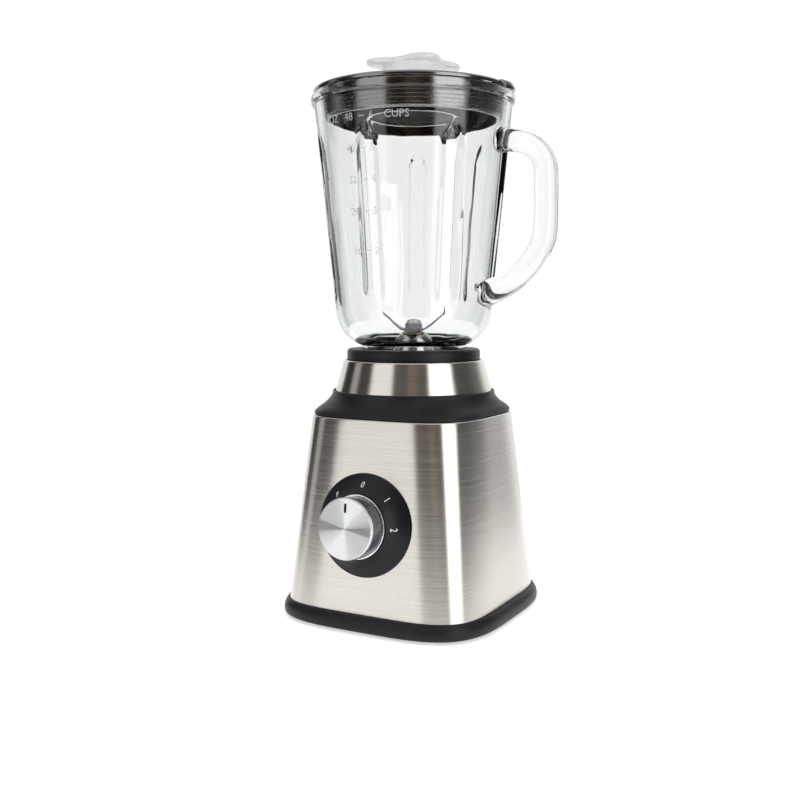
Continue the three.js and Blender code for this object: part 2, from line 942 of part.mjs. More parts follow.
function pressed(profile) {
  const geometry = turnedGeometry(profile, jugSides);
  const place = geometry.getAttribute("position");
  for (let i = 0; i < place.count; i++) {
    const radius = Math.hypot(place.getX(i), place.getY(i));
    if (radius < 1e-6) continue;
    const angle = Math.atan2(place.getY(i), place.getX(i));
    const scale = (radius + jugPush(angle, place.getZ(i), radius)) / radius;
    place.setXY(i, place.getX(i) * scale, place.getY(i) * scale);
  }
  return solidOf(geometry);
}

// The bowl's round corner as [radius, z] points, from where it leaves startRadius up to its side.
function bowlArc(corner, startRadius, steps) {
  const middle = bowlRadius - bowlCorner;
  const start = Math.asin((startRadius - middle) / corner);
  const points = [];
  for (let i = 0; i <= steps; i++) {
    const angle = start + ((Math.PI / 2 - start) * i) / steps;
    points.push([middle + corner * Math.sin(angle), zBowl - corner * Math.cos(angle)]);
  }
  return points;
}

// The jug's outer surface, or one that stands clear of it.
function jugOutside(clear = 0) {
  const bead = 1.2 + clear; // thickened rim
  return pressed([
    [0, zNeck],
    [neckRadius + clear, zNeck],
    ...bowlArc(bowlCorner + clear, neckRadius + clear, 4),
    ...wallLevels(-clear),
    [jugRadiusAt(zRim - 7) + 0.1 + clear, zRim - 7],
    [rimRadius + bead, zRim - 4.5],
    [rimRadius + bead, zRim - 1],
    [rimRadius + bead - 0.9, zRim],
    [0, zRim],
  ]);
}

function wallLevels(inset) {
  const below = (drop) => [jugRadiusAt(zRim - drop) - inset, zRim - drop];
  const low = zRim - fluteTop - 24;
  const share = (t) => low + (zBowl + 8 - low) * t;
  const level = (z) => [jugRadiusAt(z) - inset, z];
  return [
    level(share(1)),
    level(low),
    below(fluteTop + 14),
    below(fluteTop + 5),
    below(fluteTop - 2),
  ];
}

function handleCurve() {
  const x = rimRadius + handleReach;
  const high = zRim - 36;
  const points = [
    [jugRadiusAt(high) - glassWall / 2, high + 1],
    [rimRadius + 4, high],
    [rimRadius + 18, high - 4],
    [x - 2.4, high - 12.5],
    [x, high - 24],
    [x, high - 62],
    [x - 3.4, high - 73],
    [x - 13, high - 86],
    [x - 27, high - 97],
    [jugRadiusAt(high - 106) - glassWall / 2, high - 106],
  ];
  const places = points.map(([px, pz]) => new THREE.Vector3(px, 0, pz));
  return new THREE.CatmullRomCurve3(places, false, "centripetal");
}

// The handle is fused on by its two ends, which follow the wall.
function jugHandle() {
  const section = new THREE.Shape();
  section.absellipse(0, 0, handleWide / 2, handleThick / 2, 0, 2 * Math.PI);
  const options = { steps: 20, extrudePath: handleCurve(), curveSegments: 6 };
  return cut(solidOf(new THREE.ExtrudeGeometry(section, options)), jugOutside(gap));
}

function glassJug() {
  const inside = pressed([
    [0, zNeck - 5],
    [neckBore, zNeck - 5],
    ...bowlArc(bowlCorner - glassWall, neckBore, 4),
    ...wallLevels(glassWall),
    [jugRadiusAt(zRim) - glassWall, zRim - 1],
    [jugRadiusAt(zRim) - glassWall + 1, zRim + 5],
    [0, zRim + 5],
  ]);
  return cut(jugOutside(), inside);
}

function jugCollar() {
  const foot = zSeatInside + 1.5;
  const under = zSeatTop + gap;
  const body = turned(
    [
      [collarSkirt - 4, foot],
      [collarSkirt, foot],
      [collarSkirt, under],
      [collarFlange, under],
      [collarFlange, zCollarTop - 3],
      [collarFlange - 0.9, zCollarTop - 0.9],
      [collarFlange - 3, zCollarTop],
      [collarBore, zCollarTop],
      [collarBore, zShelf + 3],
      [neckBore - 7, zShelf + 3],
      [neckBore - 7, zShelf],
      [collarSkirt - 4, zShelf],
    ],
    32,
  );
  const low = [collarSkirt - lugDepth - 0.5, -lugHalfWidth - 0.6, foot - 1];
  const slot = block(low, [collarSkirt + 1, lugHalfWidth + 0.6, zLugTop + 1]);
  const slots = [1, 3, 5, 7].map((n) => around(slot, (n * Math.PI) / 4));
  return cut(body, ...slots);
}

const zFlange = zShelf + 3 + gap;
const flangePlate = 2.5;

function jugGasket() {
  const low = zFlange + flangePlate + gap;
  const high = zNeck - gap;
  return turned(
    [
      [neckBore - 2.5, low],
      [neckRadius - 0.4, low],
      [neckRadius - 0.4, high],
      [neckBore - 2.5, high],
    ],
    16,
  );
}

// ---------- blades ----------
const bushBore = bladeShaftRadius + gap;
const bushWall = 2.5;
const zBladeBoss = zBowl - bowlCorner + glassWall + 3.2;
const zBlades = zBladeBoss + 1.8;
const bladeReach = neckBore - 5.5;
const zHollow = zFlange + 4.7; // ceiling of the hollow under the housing

function bladeHousing() {
  const bore = bushBore + bushWall + gap;
  return turned(
    [
      [bore, zHollow],
      [bore, zBladeBoss],
      [bore + 3.6, zBladeBoss],
      [bore + 6.6, zBladeBoss - 4.5],
      [bore + 12, zFlange + 12],
      [bore + 17, zFlange + 4],
      [neckBore - 1.5, zFlange + flangePlate],
      [neckRadius - 1.6, zFlange + flangePlate],
      [neckRadius - 1.6, zFlange],
      [bore + 14, zFlange],
      [bore + 9.5, zHollow],
    ],
    20,
  );
}

function bladeBushing() {
  const outer = bushBore + bushWall;
  return turned(
    [
      [bushBore, zHollow - 1],
      [outer, zHollow - 1],
      [outer, zBladeBoss + gap],
      [outer + 2.2, zBladeBoss + gap],
      [outer + 2.2, zBladeBoss + gap + 1.1],
      [bushBore, zBladeBoss + gap + 1.1],
    ],
    16,
  );
}

function bladeShaft() {
  return rod(bladeShaftRadius, socketFloor + 1, zBlades + 8.6, 20);
}

function drivenCoupling() {
  const star = lobedOutline(couplingReach - 2, couplingReach, couplingLobes, 0, 4);
  const low = socketFloor + 1;
  const high = zHollow - 2.5;
  return cut(slab(star, low, high), rod(bushBore, low - 1, high + 1));
}

// A pair of blades from one strip, bent upwards by rise, with tapered ends.
function bladePair(low, rise, flat, reach, width, turn) {
  const t = bladeThickness;
  const side = new THREE.Shape([
    new THREE.Vector2(-reach, low + rise),
    new THREE.Vector2(-flat, low),
    new THREE.Vector2(flat, low),
    new THREE.Vector2(reach, low + rise),
    new THREE.Vector2(reach - 0.8, low + rise + t),
    new THREE.Vector2(flat - 0.4, low + t),
    new THREE.Vector2(-flat + 0.4, low + t),
    new THREE.Vector2(-reach + 0.8, low + rise + t),
  ]);
  const strip = new THREE.ExtrudeGeometry(side, { depth: 2 * width, bevelEnabled: false });
  strip.rotateX(Math.PI / 2).translate(0, width, 0);
  const plan = new THREE.Shape([
    new THREE.Vector2(reach + 1, width * 0.55),
    new THREE.Vector2(flat, width),
    new THREE.Vector2(-flat, width),
    new THREE.Vector2(-reach - 1, -width * 0.1),
    new THREE.Vector2(-reach - 1, -width * 0.55),
    new THREE.Vector2(-flat, -width),
    new THREE.Vector2(flat, -width),
    new THREE.Vector2(reach + 1, width * 0.1),
  ]);
  const outline = slab(plan, low - 1, low + rise + 5);
  const bore = rod(bushBore, low - 2, low + rise + 6, 20);
  return around(cut(solidOf(strip).intersect(outline), bore), turn);
}

function bladeNut() {
  const low = zBlades + 2 * (bladeThickness + gap);
  const high = zBlades + 8.6 + gap;
  const dome = turned(
    [
      [0, low],
      [6.2, low],
      [6.2, low + 3.4],
      [4.8, high + 0.8],
      [0, high + 2],
    ],
    12,
  );
  return cut(dome, rod(bushBore, low - 1, high, 16));
}

// ---------- lid and cap ----------
const skirtRadiusAt = (z) => jugRadiusAt(z) - glassWall - 3.2;

function lid() {
  const flange = rimRadius + 0.6;
  const foot = zLid - lidSkirt;
  const capEdge = capHole + capFlange;
  const body = turned(
    [
      [capHole, zLidTop + 1.4],
      [capEdge + 0.6, zLidTop + 1.4],
      [(capEdge + flange) / 2, zLidTop + 0.8],
      [flange - 1.2, zLidTop - 0.6],
      [flange, zLidTop - 1.9],
      [flange - 0.5, zLid],
      [skirtRadiusAt(zLid) + 0.6, zLid],
      [skirtRadiusAt(zLid) - gap, zLid - 1],
      [skirtRadiusAt(foot + 2) - gap, foot + 2],
      [skirtRadiusAt(foot) - 1.2, foot],
      [skirtRadiusAt(foot) - lidWall - gap, foot],
      [skirtRadiusAt(zLid) - lidWall - gap, zLidTop - lidWall - 1],
      [capHole + lidWall, zLidTop + 1.4 - lidWall],
      [capHole + lidWall, zLid - lidSleeve],
      [capHole, zLid - lidSleeve],
    ],
    32,
  );
  const tab = new THREE.Shape([
    new THREE.Vector2(flange - 4, zLid),
    new THREE.Vector2(flange + 2.6, zLid),
    new THREE.Vector2(flange + 4.6, zLid - 3),
    new THREE.Vector2(flange + 5.4, zLid - 1),
    new THREE.Vector2(flange + 2.4, zLidTop - 0.6),
    new THREE.Vector2(flange - 4, zLidTop - 0.4),
  ]);
  const tabHalf = 8;
  const lift = new THREE.ExtrudeGeometry(tab, { depth: 2 * tabHalf, bevelEnabled: false });
  return joined(body, solidOf(lift.rotateX(Math.PI / 2).translate(0, tabHalf, 0)));
}

// A soft sleeve with ribs that press against the glass.
function lidSeal() {
  const ribPitch = 7;
  const ribs = 2;
  const start = zLid - 5;
  const points = [];
  const inner = (z) => skirtRadiusAt(z);
  const rib = (z) => jugRadiusAt(z) - glassWall - 0.6;
  for (let i = 0; i < ribs; i++) {
    const z = start - i * ribPitch;
    points.push([inner(z) + 1.2, z + 1.4], [rib(z), z], [inner(z) + 1.2, z - 0.9]);
  }
  const foot = start - ribs * ribPitch + 2;
  points.push([inner(foot) + 1.2, foot], [inner(foot), foot], [inner(start), start + 1.4]);
  return turned(points, 32);
}

function measuringCap() {
  const low = zLid - 14;
  const outer = capHole - 2 * gap;
  const flangeLow = zLidTop + 1.4 + gap;
  const edge = capHole + capFlange;
  const gripLow = zLidTop + capRise - 3.4;
  const gripHigh = zLidTop + capRise;
  const body = turned(
    [
      [0, gripLow + 0.5],
      [gripWaist - 1, gripLow + 0.5],
      [gripWaist - 1, flangeLow + 7],
      [gripWaist + 3, flangeLow + 6],
      [edge - 1.4, flangeLow + 3.9],
      [edge, flangeLow + 3],
      [edge, flangeLow],
      [outer, flangeLow],
      [outer - 0.4, low],
      [outer - 0.4 - capWall, low],
      [outer - capWall, flangeLow + 1],
      [gripWaist - 4, flangeLow + 4],
      [0, flangeLow + 4.6],
    ],
    32,
  );
  const grip = lobedOutline(gripWaist, gripReach, gripLobes, Math.PI / 4, 8);
  return joined(body, slab(grip, gripLow, gripHigh));
}

// ---------- assembly ----------
const front = frontFrame();
const rear = rearFrame();
model.add(front, rear);

addPiece("foot_band", footBand(), "blackPlastic");
addPiece("bottom_cover", bottomCover(), "blackPlastic");
fourCorners(footOffset).forEach(([x, y], i) => {
  addPiece("rubber_foot_" + (i + 1), rubberFoot(), "rubber").position.set(x, y, 0);
});
fourCorners(postOffset).forEach(([x, y], i) => {
  addPiece("cover_screw_" + (i + 1), coverScrew(), "polishedSteel").position.set(x, y, 0);
});
addPiece("steel_shell", steelShell(front, rear), "brushedSteel");
addPiece("shoulder", shoulder(), "blackPlastic");
addPiece("trim_ring", trimRing(), "brushedSteel");
addPiece("jug_seat", jugSeat(), "blackPlastic");
addPiece("dial_plate", dialPlate(front), "blackPlastic");
addPiece("rotary_switch", rotarySwitch(), "ivoryPlastic", front);
addPiece("cord_gland", cordGland(), "rubber", rear);

addPiece("switch_spindle", switchSpindle(), "iron", front);
addPiece("knob_base_ring", knobBaseRing(), "chrome", front);
addPiece("speed_knob", speedKnob(), "blackPlastic", front);
addPiece("knob_face", knobFace(), "aluminium", front);
addPiece("knob_pointer", knobPointer(), "whiteMark", front);

addPiece("stator_core", statorCore(), "iron");
addPiece("field_coil_right", fieldCoil(1), "copper");
addPiece("field_coil_left", fieldCoil(-1), "copper");
addPiece("motor_top_bracket", topBracket(), "aluminium");
addPiece("motor_bottom_bracket", bottomBracket(), "aluminium");
addPiece("upper_bearing", bearing(zTopBracket - bracketPlate - bearingHeight + gap), "polishedSteel");
addPiece("lower_bearing", bearing(zLowUnder - bearingHeight + 2), "polishedSteel");
addPiece("brush_holder_rear", brushHolder(), "bronze");
addPiece("brush_holder_front", around(brushHolder(), Math.PI), "bronze");
addPiece("carbon_brush_rear", carbonBrush(), "carbon");
addPiece("carbon_brush_front", around(carbonBrush(), Math.PI), "carbon");
[legPlaces[0], legPlaces[2]].forEach(([x, y], i) => {
  addPiece("motor_bolt_" + (i + 1), motorBolt(), "polishedSteel").position.set(x, y, 0);
});
const mountPlaces = [
  [24, 0],
  [0, 20],
  [-24, 0],
  [0, -20],
];
mountPlaces.forEach(([x, y], i) => {
  addPiece("motor_mount_" + (i + 1), motorMount(), "rubber").position.set(x, y, 0);
});

addPiece("motor_shaft", motorShaft(), "polishedSteel");
addPiece("armature_core", armatureCore(), "iron");
addPiece("armature_winding_top", windingHead(zStatorTop + gap, zStatorTop + 8), "copper");
addPiece("armature_winding_bottom", windingHead(zStator - 7, zStator - gap), "copper");
addPiece("commutator", commutator(), "copper");
addPiece("cooling_fan", coolingFan(), "ivoryPlastic");
addPiece("drive_coupling", driveCoupling(), "blackPlastic");

addPiece("glass_jug", glassJug(), "glass");
addPiece("jug_handle", jugHandle(), "glass");
addPiece("jug_collar", jugCollar(), "blackPlastic");
addPiece("jug_gasket", jugGasket(), "rubber");
addPiece("blade_housing", bladeHousing(), "blackPlastic");
addPiece("blade_bushing", bladeBushing(), "bronze");
addPiece("blade_shaft", bladeShaft(), "polishedSteel");
addPiece("driven_coupling", drivenCoupling(), "blackPlastic");
addPiece("lower_blades", bladePair(zBlades, 1.2, 8, bladeReach, 6, 1.9), "polishedSteel");
addPiece(
  "upper_blades",
  bladePair(zBlades + bladeThickness + gap, 13, 8.5, bladeReach - 4, 6, 0.35),
  "polishedSteel",
);
addPiece("blade_nut", bladeNut(), "polishedSteel");

addPiece("lid", lid(), "blackPlastic");
addPiece("lid_seal", lidSeal(), "rubber");
addPiece("measuring_cap", measuringCap(), "clearPlastic");

// The origin is the middle of the whole object's footprint, on the table.
model.updateMatrixWorld(true);
const bounds = new THREE.Box3().setFromObject(model, true);
const middle = bounds.getCenter(new THREE.Vector3());
model.position.set(-middle.x, -middle.y, -bounds.min.z);

export default model;
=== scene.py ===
import json
import math

import bmesh
import bpy
from mathutils import Matrix, Vector


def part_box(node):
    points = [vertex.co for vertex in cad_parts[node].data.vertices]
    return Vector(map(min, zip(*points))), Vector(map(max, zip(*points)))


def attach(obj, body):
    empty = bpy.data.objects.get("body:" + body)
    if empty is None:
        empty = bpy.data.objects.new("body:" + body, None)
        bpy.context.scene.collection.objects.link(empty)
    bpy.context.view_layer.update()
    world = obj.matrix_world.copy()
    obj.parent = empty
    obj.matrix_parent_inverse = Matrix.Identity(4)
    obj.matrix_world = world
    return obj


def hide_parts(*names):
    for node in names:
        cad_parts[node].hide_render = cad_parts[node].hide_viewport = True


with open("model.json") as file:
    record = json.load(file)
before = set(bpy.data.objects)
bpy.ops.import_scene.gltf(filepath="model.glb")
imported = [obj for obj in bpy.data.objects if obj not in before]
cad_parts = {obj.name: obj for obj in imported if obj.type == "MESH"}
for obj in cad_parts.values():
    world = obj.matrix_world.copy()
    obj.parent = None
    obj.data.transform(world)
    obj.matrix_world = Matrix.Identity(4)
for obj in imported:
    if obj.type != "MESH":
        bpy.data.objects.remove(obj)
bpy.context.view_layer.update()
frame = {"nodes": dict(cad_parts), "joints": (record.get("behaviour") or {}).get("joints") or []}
mm = 0.001


def span(node):
    low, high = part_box(node)
    return low / mm, high / mm


def halfWide(node):
    low, high = span(node)
    return (high.x - low.x) / 2


ringLow, ringHigh = span("trim_ring")
axisX = (ringLow.x + ringHigh.x) / 2  # the jug's upright axis, in mm
axisY = (ringLow.y + ringHigh.y) / 2

# the camera stands to the right of the dial and looks slightly down
cameraPlace = {
    "distance": 743.1,  # mm from the jug's axis
    "turn": 28.1,  # degrees to the right of the dial
    "height": 227.4,
    "tilt": 6.0,
    "lens": 45.34,
    "shiftX": -0.01706,
    "shiftY": 0.00964,
}
cameraTurn = math.radians(cameraPlace["turn"])
cameraData = bpy.data.cameras.new("productCamera")
cameraData.lens = cameraPlace["lens"]
cameraData.shift_x = cameraPlace["shiftX"]
cameraData.shift_y = cameraPlace["shiftY"]
cameraData.clip_start = 0.05
camera = bpy.data.objects.new("productCamera", cameraData)
bpy.context.scene.collection.objects.link(camera)
camera.location = (
    (axisX + cameraPlace["distance"] * math.sin(cameraTurn)) * mm,
    (axisY - cameraPlace["distance"] * math.cos(cameraTurn)) * mm,
    cameraPlace["height"] * mm,
)
camera.rotation_euler = (math.radians(90 - cameraPlace["tilt"]), 0, cameraTurn)
bpy.context.scene.camera = camera
print("camera placed")


class Value:
    # a node's output, which goes into sums with numbers and other outputs
    def __init__(self, graph, socket):
        self.graph = graph
        self.socket = socket

    def maths(self, operation, *rest):
        return self.graph.maths(operation, self, *rest)

    def __add__(self, other):
        return self.graph.maths("ADD", self, other)

    def __radd__(self, other):
        return self.graph.maths("ADD", other, self)

    def __sub__(self, other):
        return self.graph.maths("SUBTRACT", self, other)

    def __rsub__(self, other):
        return self.graph.maths("SUBTRACT", other, self)

    def __mul__(self, other):
        return self.graph.maths("MULTIPLY", self, other)

    def __rmul__(self, other):
        return self.graph.maths("MULTIPLY", other, self)

    def __truediv__(self, other):
        return self.graph.maths("DIVIDE", self, other)

    def __rtruediv__(self, other):
        return self.graph.maths("DIVIDE", other, self)

    def __pow__(self, other):
        return self.graph.maths("POWER", self, other)


class Graph:
    # makes the nodes of one tree
    def __init__(self, tree):
        self.tree = tree

    # any node: its settings are set first, then the values or links of its sockets
    def node(self, kind, settings=None, sockets=None, output=0):
        made = self.tree.nodes.new(kind)
        for key, value in (settings or {}).items():
            if key == "stops":
                ramp = made.color_ramp
                while len(ramp.elements) < len(value):
                    ramp.elements.new(1)
                for element, (place, colour) in zip(ramp.elements, value):
                    element.position = place
                    element.color = colour if len(colour) == 4 else (*colour, 1)
            else:
                setattr(made, key, value)
        for key, value in (sockets or {}).items():
            if isinstance(value, Value):
                self.tree.links.new(value.socket, made.inputs[key])
            else:
                made.inputs[key].default_value = value
        return Value(self, made.outputs[output])

    def maths(self, operation, *values):
        return self.node("ShaderNodeMath", {"operation": operation}, dict(enumerate(values)))

    def smooth(self, value, low=0.0, high=1.0, start=0.0, end=1.0):
        return self.node(
            "ShaderNodeMapRange",
            {"interpolation_type": "SMOOTHSTEP"},
            {"Value": value, "From Min": low, "From Max": high, "To Min": start, "To Max": end},
        )

    def parts(self, vector):
        split = self.tree.nodes.new("ShaderNodeSeparateXYZ")
        self.tree.links.new(vector.socket, split.inputs[0])
        return [Value(self, socket) for socket in split.outputs]

    def joinParts(self, x, y, z):
        return self.node("ShaderNodeCombineXYZ", {}, {"X": x, "Y": y, "Z": z})

    def vectors(self, operation, sockets, output=0):
        return self.node("ShaderNodeVectorMath", {"operation": operation}, sockets, output)

    def between(self, factor, first, second):
        ends = [c if isinstance(c, Value) else (*c, 1) for c in (first, second)]
        sockets = {"Factor": factor, 6: ends[0], 7: ends[1]}
        return self.node("ShaderNodeMix", {"data_type": "RGBA"}, sockets, output=2)


class Finish(Graph):
    # a material with one principled shader
    def __init__(self, name, **constants):
        self.material = bpy.data.materials.new(name)
        self.material.use_nodes = True
        super().__init__(self.material.node_tree)
        self.tree.nodes.clear()
        self.shader = self.tree.nodes.new("ShaderNodeBsdfPrincipled")
        output = self.tree.nodes.new("ShaderNodeOutputMaterial")
        self.tree.links.new(self.shader.outputs[0], output.inputs["Surface"])
        self.feed(**constants)

    # socket names are given in one word: baseColor is Base Color
    def feed(self, **sockets):
        for word, value in sockets.items():
            name = "".join(" " + c if c.isupper() else c for c in word)
            name = " ".join(p.capitalize() for p in name.split()).replace("Ior", "IOR")
            socket = self.shader.inputs[name]
            if isinstance(value, Value):
                self.tree.links.new(value.socket, socket)
            else:
                socket.default_value = value

    def place(self, stretch=(1, 1, 1), centre=(0, 0, 0)):
        where = self.node("ShaderNodeTexCoord", output="Object")
        sockets = {"Vector": where, "Location": [-c for c in centre]}
        moved = self.node("ShaderNodeMapping", {}, sockets)
        return self.node("ShaderNodeMapping", {}, {"Vector": moved, "Scale": stretch})

    def noise(self, scale, stretch=(1, 1, 1), detail=3.0, roughness=0.5):
        sockets = {"Vector": self.place(stretch), "Scale": scale}
        sockets.update({"Detail": detail, "Roughness": roughness})
        return self.node("ShaderNodeTexNoise", {}, sockets)

    def edge(self, blend):
        return self.node("ShaderNodeLayerWeight", {}, {"Blend": blend}, output="Facing")

    def bump(self, height, strength, distance):
        sockets = {"Height": height, "Strength": strength, "Distance": distance}
        return self.node("ShaderNodeBump", {}, sockets)


def brushedSteel(name, tint, settings):
    steel = Finish(
        name,
        metallic=1.0,
        anisotropic=settings["anisotropic"],
        anisotropicRotation=0.25,
    )
    streaks = steel.noise(1.0, settings["streak"], detail=4.0, roughness=0.6)
    fine = steel.noise(1.0, settings["fineStreak"], detail=2.0)
    clouds = steel.noise(settings["cloudScale"], detail=2.0)
    shade = streaks * 0.65 + fine * 0.35
    dark = tuple(c * settings["darkest"] for c in tint)
    steel.feed(
        baseColor=steel.between(steel.smooth(shade, 0.3, 0.7), dark, tint),
        roughness=settings["roughness"] + (shade - 0.5) * 0.16 + (clouds - 0.5) * 0.05,
        normal=steel.bump(shade, settings["bump"], 0.00004),
    )
    return steel.material


shellBrushing = {
    "anisotropic": 0.9,
    "roughness": 0.25,
    "streak": (12, 12, 1500),
    "fineStreak": (90, 90, 4200),
    "cloudScale": 14.0,
    "darkest": 0.84,
    "bump": 0.24,
}
ringBrushing = dict(shellBrushing, roughness=0.21, darkest=0.88, bump=0.15)


def mouldedPlastic(
    name, tint, roughness, grain=2600.0, grainDepth=0.12, coat=0.0, shine=0.25, ior=1.5
):
    plastic = Finish(name, coatWeight=coat, coatRoughness=0.08, specularIorLevel=shine, ior=ior)
    spark = plastic.noise(grain, detail=2.0)
    smear = plastic.noise(38.0, detail=3.0)
    pale = tuple(c * 1.35 + 0.002 for c in tint)
    plastic.feed(
        baseColor=plastic.between(plastic.smooth(smear, 0.35, 0.75), tint, pale),
        roughness=roughness + (smear - 0.5) * 0.12 + (spark - 0.5) * 0.08,
        normal=plastic.bump(spark, grainDepth, 0.00003),
    )
    return plastic.material


def plainMetal(name, tint, roughness, scale=300.0, variation=0.12, stretch=(1, 1, 1)):
    metal = Finish(name, metallic=1.0)
    wear = metal.noise(scale, stretch, detail=4.0)
    dark = tuple(c * 0.78 for c in tint)
    metal.feed(
        baseColor=metal.between(metal.smooth(wear, 0.3, 0.7), dark, tint),
        roughness=roughness + (wear - 0.5) * variation,
        normal=metal.bump(wear, 0.08, 0.00004),
    )
    return metal.material


def layeredMetal(name, tint, gapTint, pitch, roughness):
    # thin sheets or turns of wire, stacked upwards
    metal = Finish(name, metallic=0.85)
    height = metal.parts(metal.place((1, 1, 1 / pitch)))[2]
    edge = metal.smooth(metal.maths("PINGPONG", height, 0.5), 0.0, 0.16)
    metal.feed(
        baseColor=metal.between(edge, gapTint, tint),
        roughness=roughness + (1 - edge) * 0.2,
        normal=metal.bump(edge, 0.5, 0.0002),
    )
    return metal.material


def pressedGlass(name, settings):
    # clear face on, greener where the wall is seen along its length
    glass = Finish(name, transmissionWeight=1.0, ior=1.5)
    ripple = glass.noise(settings["rippleScale"], (1, 1, 0.3), detail=2.0)
    speck = glass.noise(420.0, detail=1.0)
    edge = glass.edge(0.5)
    glass.feed(
        baseColor=glass.between(edge ** settings["edgePower"], settings["tint"], settings["edge"]),
        roughness=glass.smooth(speck, 0.55, 0.95, 0.0, settings["roughest"]),
        normal=glass.bump(ripple, settings["ripple"], settings["rippleDepth"]),
    )
    return glass.material


def milkyPlastic(name, settings):
    # thin clear plastic that turns milky towards its edges
    milky = Finish(name, coatWeight=0.6, coatRoughness=0.06, roughness=0.18)
    cloud = milky.noise(70.0, detail=3.0)
    edge = milky.edge(0.4)
    height = milky.parts(milky.place())[2]
    clear = settings["clearBelow"]
    above = milky.smooth(height, clear - settings["fade"], clear, settings["faint"], 1.0)
    milky.feed(
        baseColor=milky.between(cloud, settings["tint"], settings["cloud"]),
        alpha=(settings["thin"] + edge * settings["thick"] + (cloud - 0.5) * 0.04) * above,
        normal=milky.bump(cloud, 0.1, 0.0003),
    )
    return milky.material


jugGlass = {
    "tint": (0.985, 0.995, 0.99),
    "edge": (0.3, 0.4, 0.38),
    "edgePower": 3.0,
    "rippleScale": 36.0,
    "ripple": 0.4,
    "rippleDepth": 0.0012,
    "roughest": 0.02,
}
capPlastic = {
    "tint": (0.74, 0.77, 0.8),
    "cloud": (0.82, 0.85, 0.87),
    "thin": 0.22,
    "thick": 0.42,
    "clearBelow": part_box("lid")[1].z + 1 * mm,  # the sleeve inside the lid hardly shows
    "fade": 4 * mm,
    "faint": 0.15,
}


def turnedFace(name, centre, outward, settings):
    # fine grooves cut round the centre, whose sides lean in and out by turns
    face = Finish(name, metallic=1.0)
    where = face.place((1, 1, 1), centre)
    across = face.vectors("PROJECT", {0: where, 1: tuple(outward)})
    radial = face.vectors("SUBTRACT", {0: where, 1: across})
    radius = face.vectors("LENGTH", {0: radial}, output=1)
    away = face.vectors("NORMALIZE", {0: radial})
    groove = (radius * settings["grooves"] * 2 * math.pi).maths("SINE") * 0.5 + 0.5
    shift = face.vectors("SCALE", {0: away, "Scale": (groove - 0.5) * settings["lean"]})
    straight = face.node("ShaderNodeNewGeometry", output="Normal")
    leant = face.vectors("ADD", {0: straight, 1: shift})
    dark = tuple(c * 0.9 for c in settings["tint"])
    face.feed(
        baseColor=face.between(face.smooth(groove, 0.35, 0.65), dark, settings["tint"]),
        roughness=settings["roughness"] + (groove - 0.5) * 0.06,
        normal=face.vectors("NORMALIZE", {0: leant}),
    )
    return face.material


faceTurning = {"tint": (0.72, 0.735, 0.75), "grooves": 9500.0, "lean": 0.76, "roughness": 0.06}

steelTint = (0.7, 0.678, 0.632)
levelSteel = brushedSteel("levelBrushedSteel", steelTint, shellBrushing)
roundSteel = brushedSteel("roundBrushedSteel", (0.73, 0.705, 0.665), ringBrushing)
satinBlack = mouldedPlastic("satinBlackPlastic", (0.0085, 0.009, 0.0105), 0.42)
bandBlack = mouldedPlastic("bandBlackPlastic", (0.0075, 0.008, 0.0095), 0.4)
glossBlack = mouldedPlastic(
    "glossBlackPlastic", (0.003, 0.0032, 0.0036), 0.14, 900.0, 0.02, coat=1.0, shine=1.0, ior=1.9
)
sealBlack = mouldedPlastic(
    "glossySealRubber", (0.004, 0.0042, 0.0045), 0.2, 900.0, 0.05, coat=0.5, shine=1.0, ior=1.9
)
dialBlack = mouldedPlastic("dialBlackPlastic", (0.0065, 0.0072, 0.0095), 0.36, 2600.0, 0.06)
knobBlack = mouldedPlastic(
    "knobBlackPlastic", (0.06, 0.066, 0.078), 0.2, 1800.0, 0.05, coat=0.6, shine=0.9, ior=1.7
)
rubberBlack = mouldedPlastic("blackRubber", (0.012, 0.012, 0.013), 0.75, 1400.0, 0.3)
ivoryPlastic = mouldedPlastic("ivoryPlastic", (0.62, 0.58, 0.47), 0.45)
carbonBlock = mouldedPlastic("pressedCarbon", (0.02, 0.02, 0.022), 0.6, 3000.0, 0.5)
markWhite = mouldedPlastic("printedWhite", (0.72, 0.73, 0.73), 0.5, 3000.0, 0.02)
zincSteel = plainMetal("zincPlatedSteel", (0.62, 0.63, 0.64), 0.3)
shaftSteel = plainMetal("groundSteel", (0.6, 0.6, 0.61), 0.2, 200.0, 0.1, (1, 1, 20))
bladeSteel = plainMetal("bladeSteel", (0.06, 0.052, 0.05), 0.26, 260.0, 0.16)
chromeTrim = plainMetal("knobChrome", (0.8, 0.81, 0.83), 0.1, 500.0, 0.06)
castAluminium = plainMetal("castAluminium", (0.58, 0.59, 0.61), 0.42, 700.0, 0.2)
bronze = plainMetal("sinteredBronze", (0.55, 0.38, 0.18), 0.4, 1600.0, 0.25)
ironSheets = layeredMetal("ironLaminations", (0.3, 0.3, 0.31), (0.08, 0.08, 0.085), 0.0007, 0.45)
copperWire = layeredMetal("copperWindings", (0.6, 0.24, 0.1), (0.16, 0.05, 0.02), 0.0006, 0.3)
clearGlass = pressedGlass("clearPressedGlass", jugGlass)
clearPlastic = milkyPlastic("clearMouldedPlastic", capPlastic)
print("finishes made")


def smoothed(points, steps=6):
    # a curve through every point, with the same number of values at each
    def along(p, q, r, s, t):
        square = (2 * p - 5 * q + 4 * r - s) * t * t
        cube = (3 * q - p - 3 * r + s) * t ** 3
        return 0.5 * (2 * q + (r - p) * t + square + cube)

    line = []
    ends = [points[0], *points, points[-1]]
    for a, b, c, d in zip(ends, ends[1:], ends[2:], ends[3:]):
        for i in range(steps):
            t = i / steps
            line.append(tuple(along(*values, t) for values in zip(a, b, c, d)))
    return [*line, points[-1]]


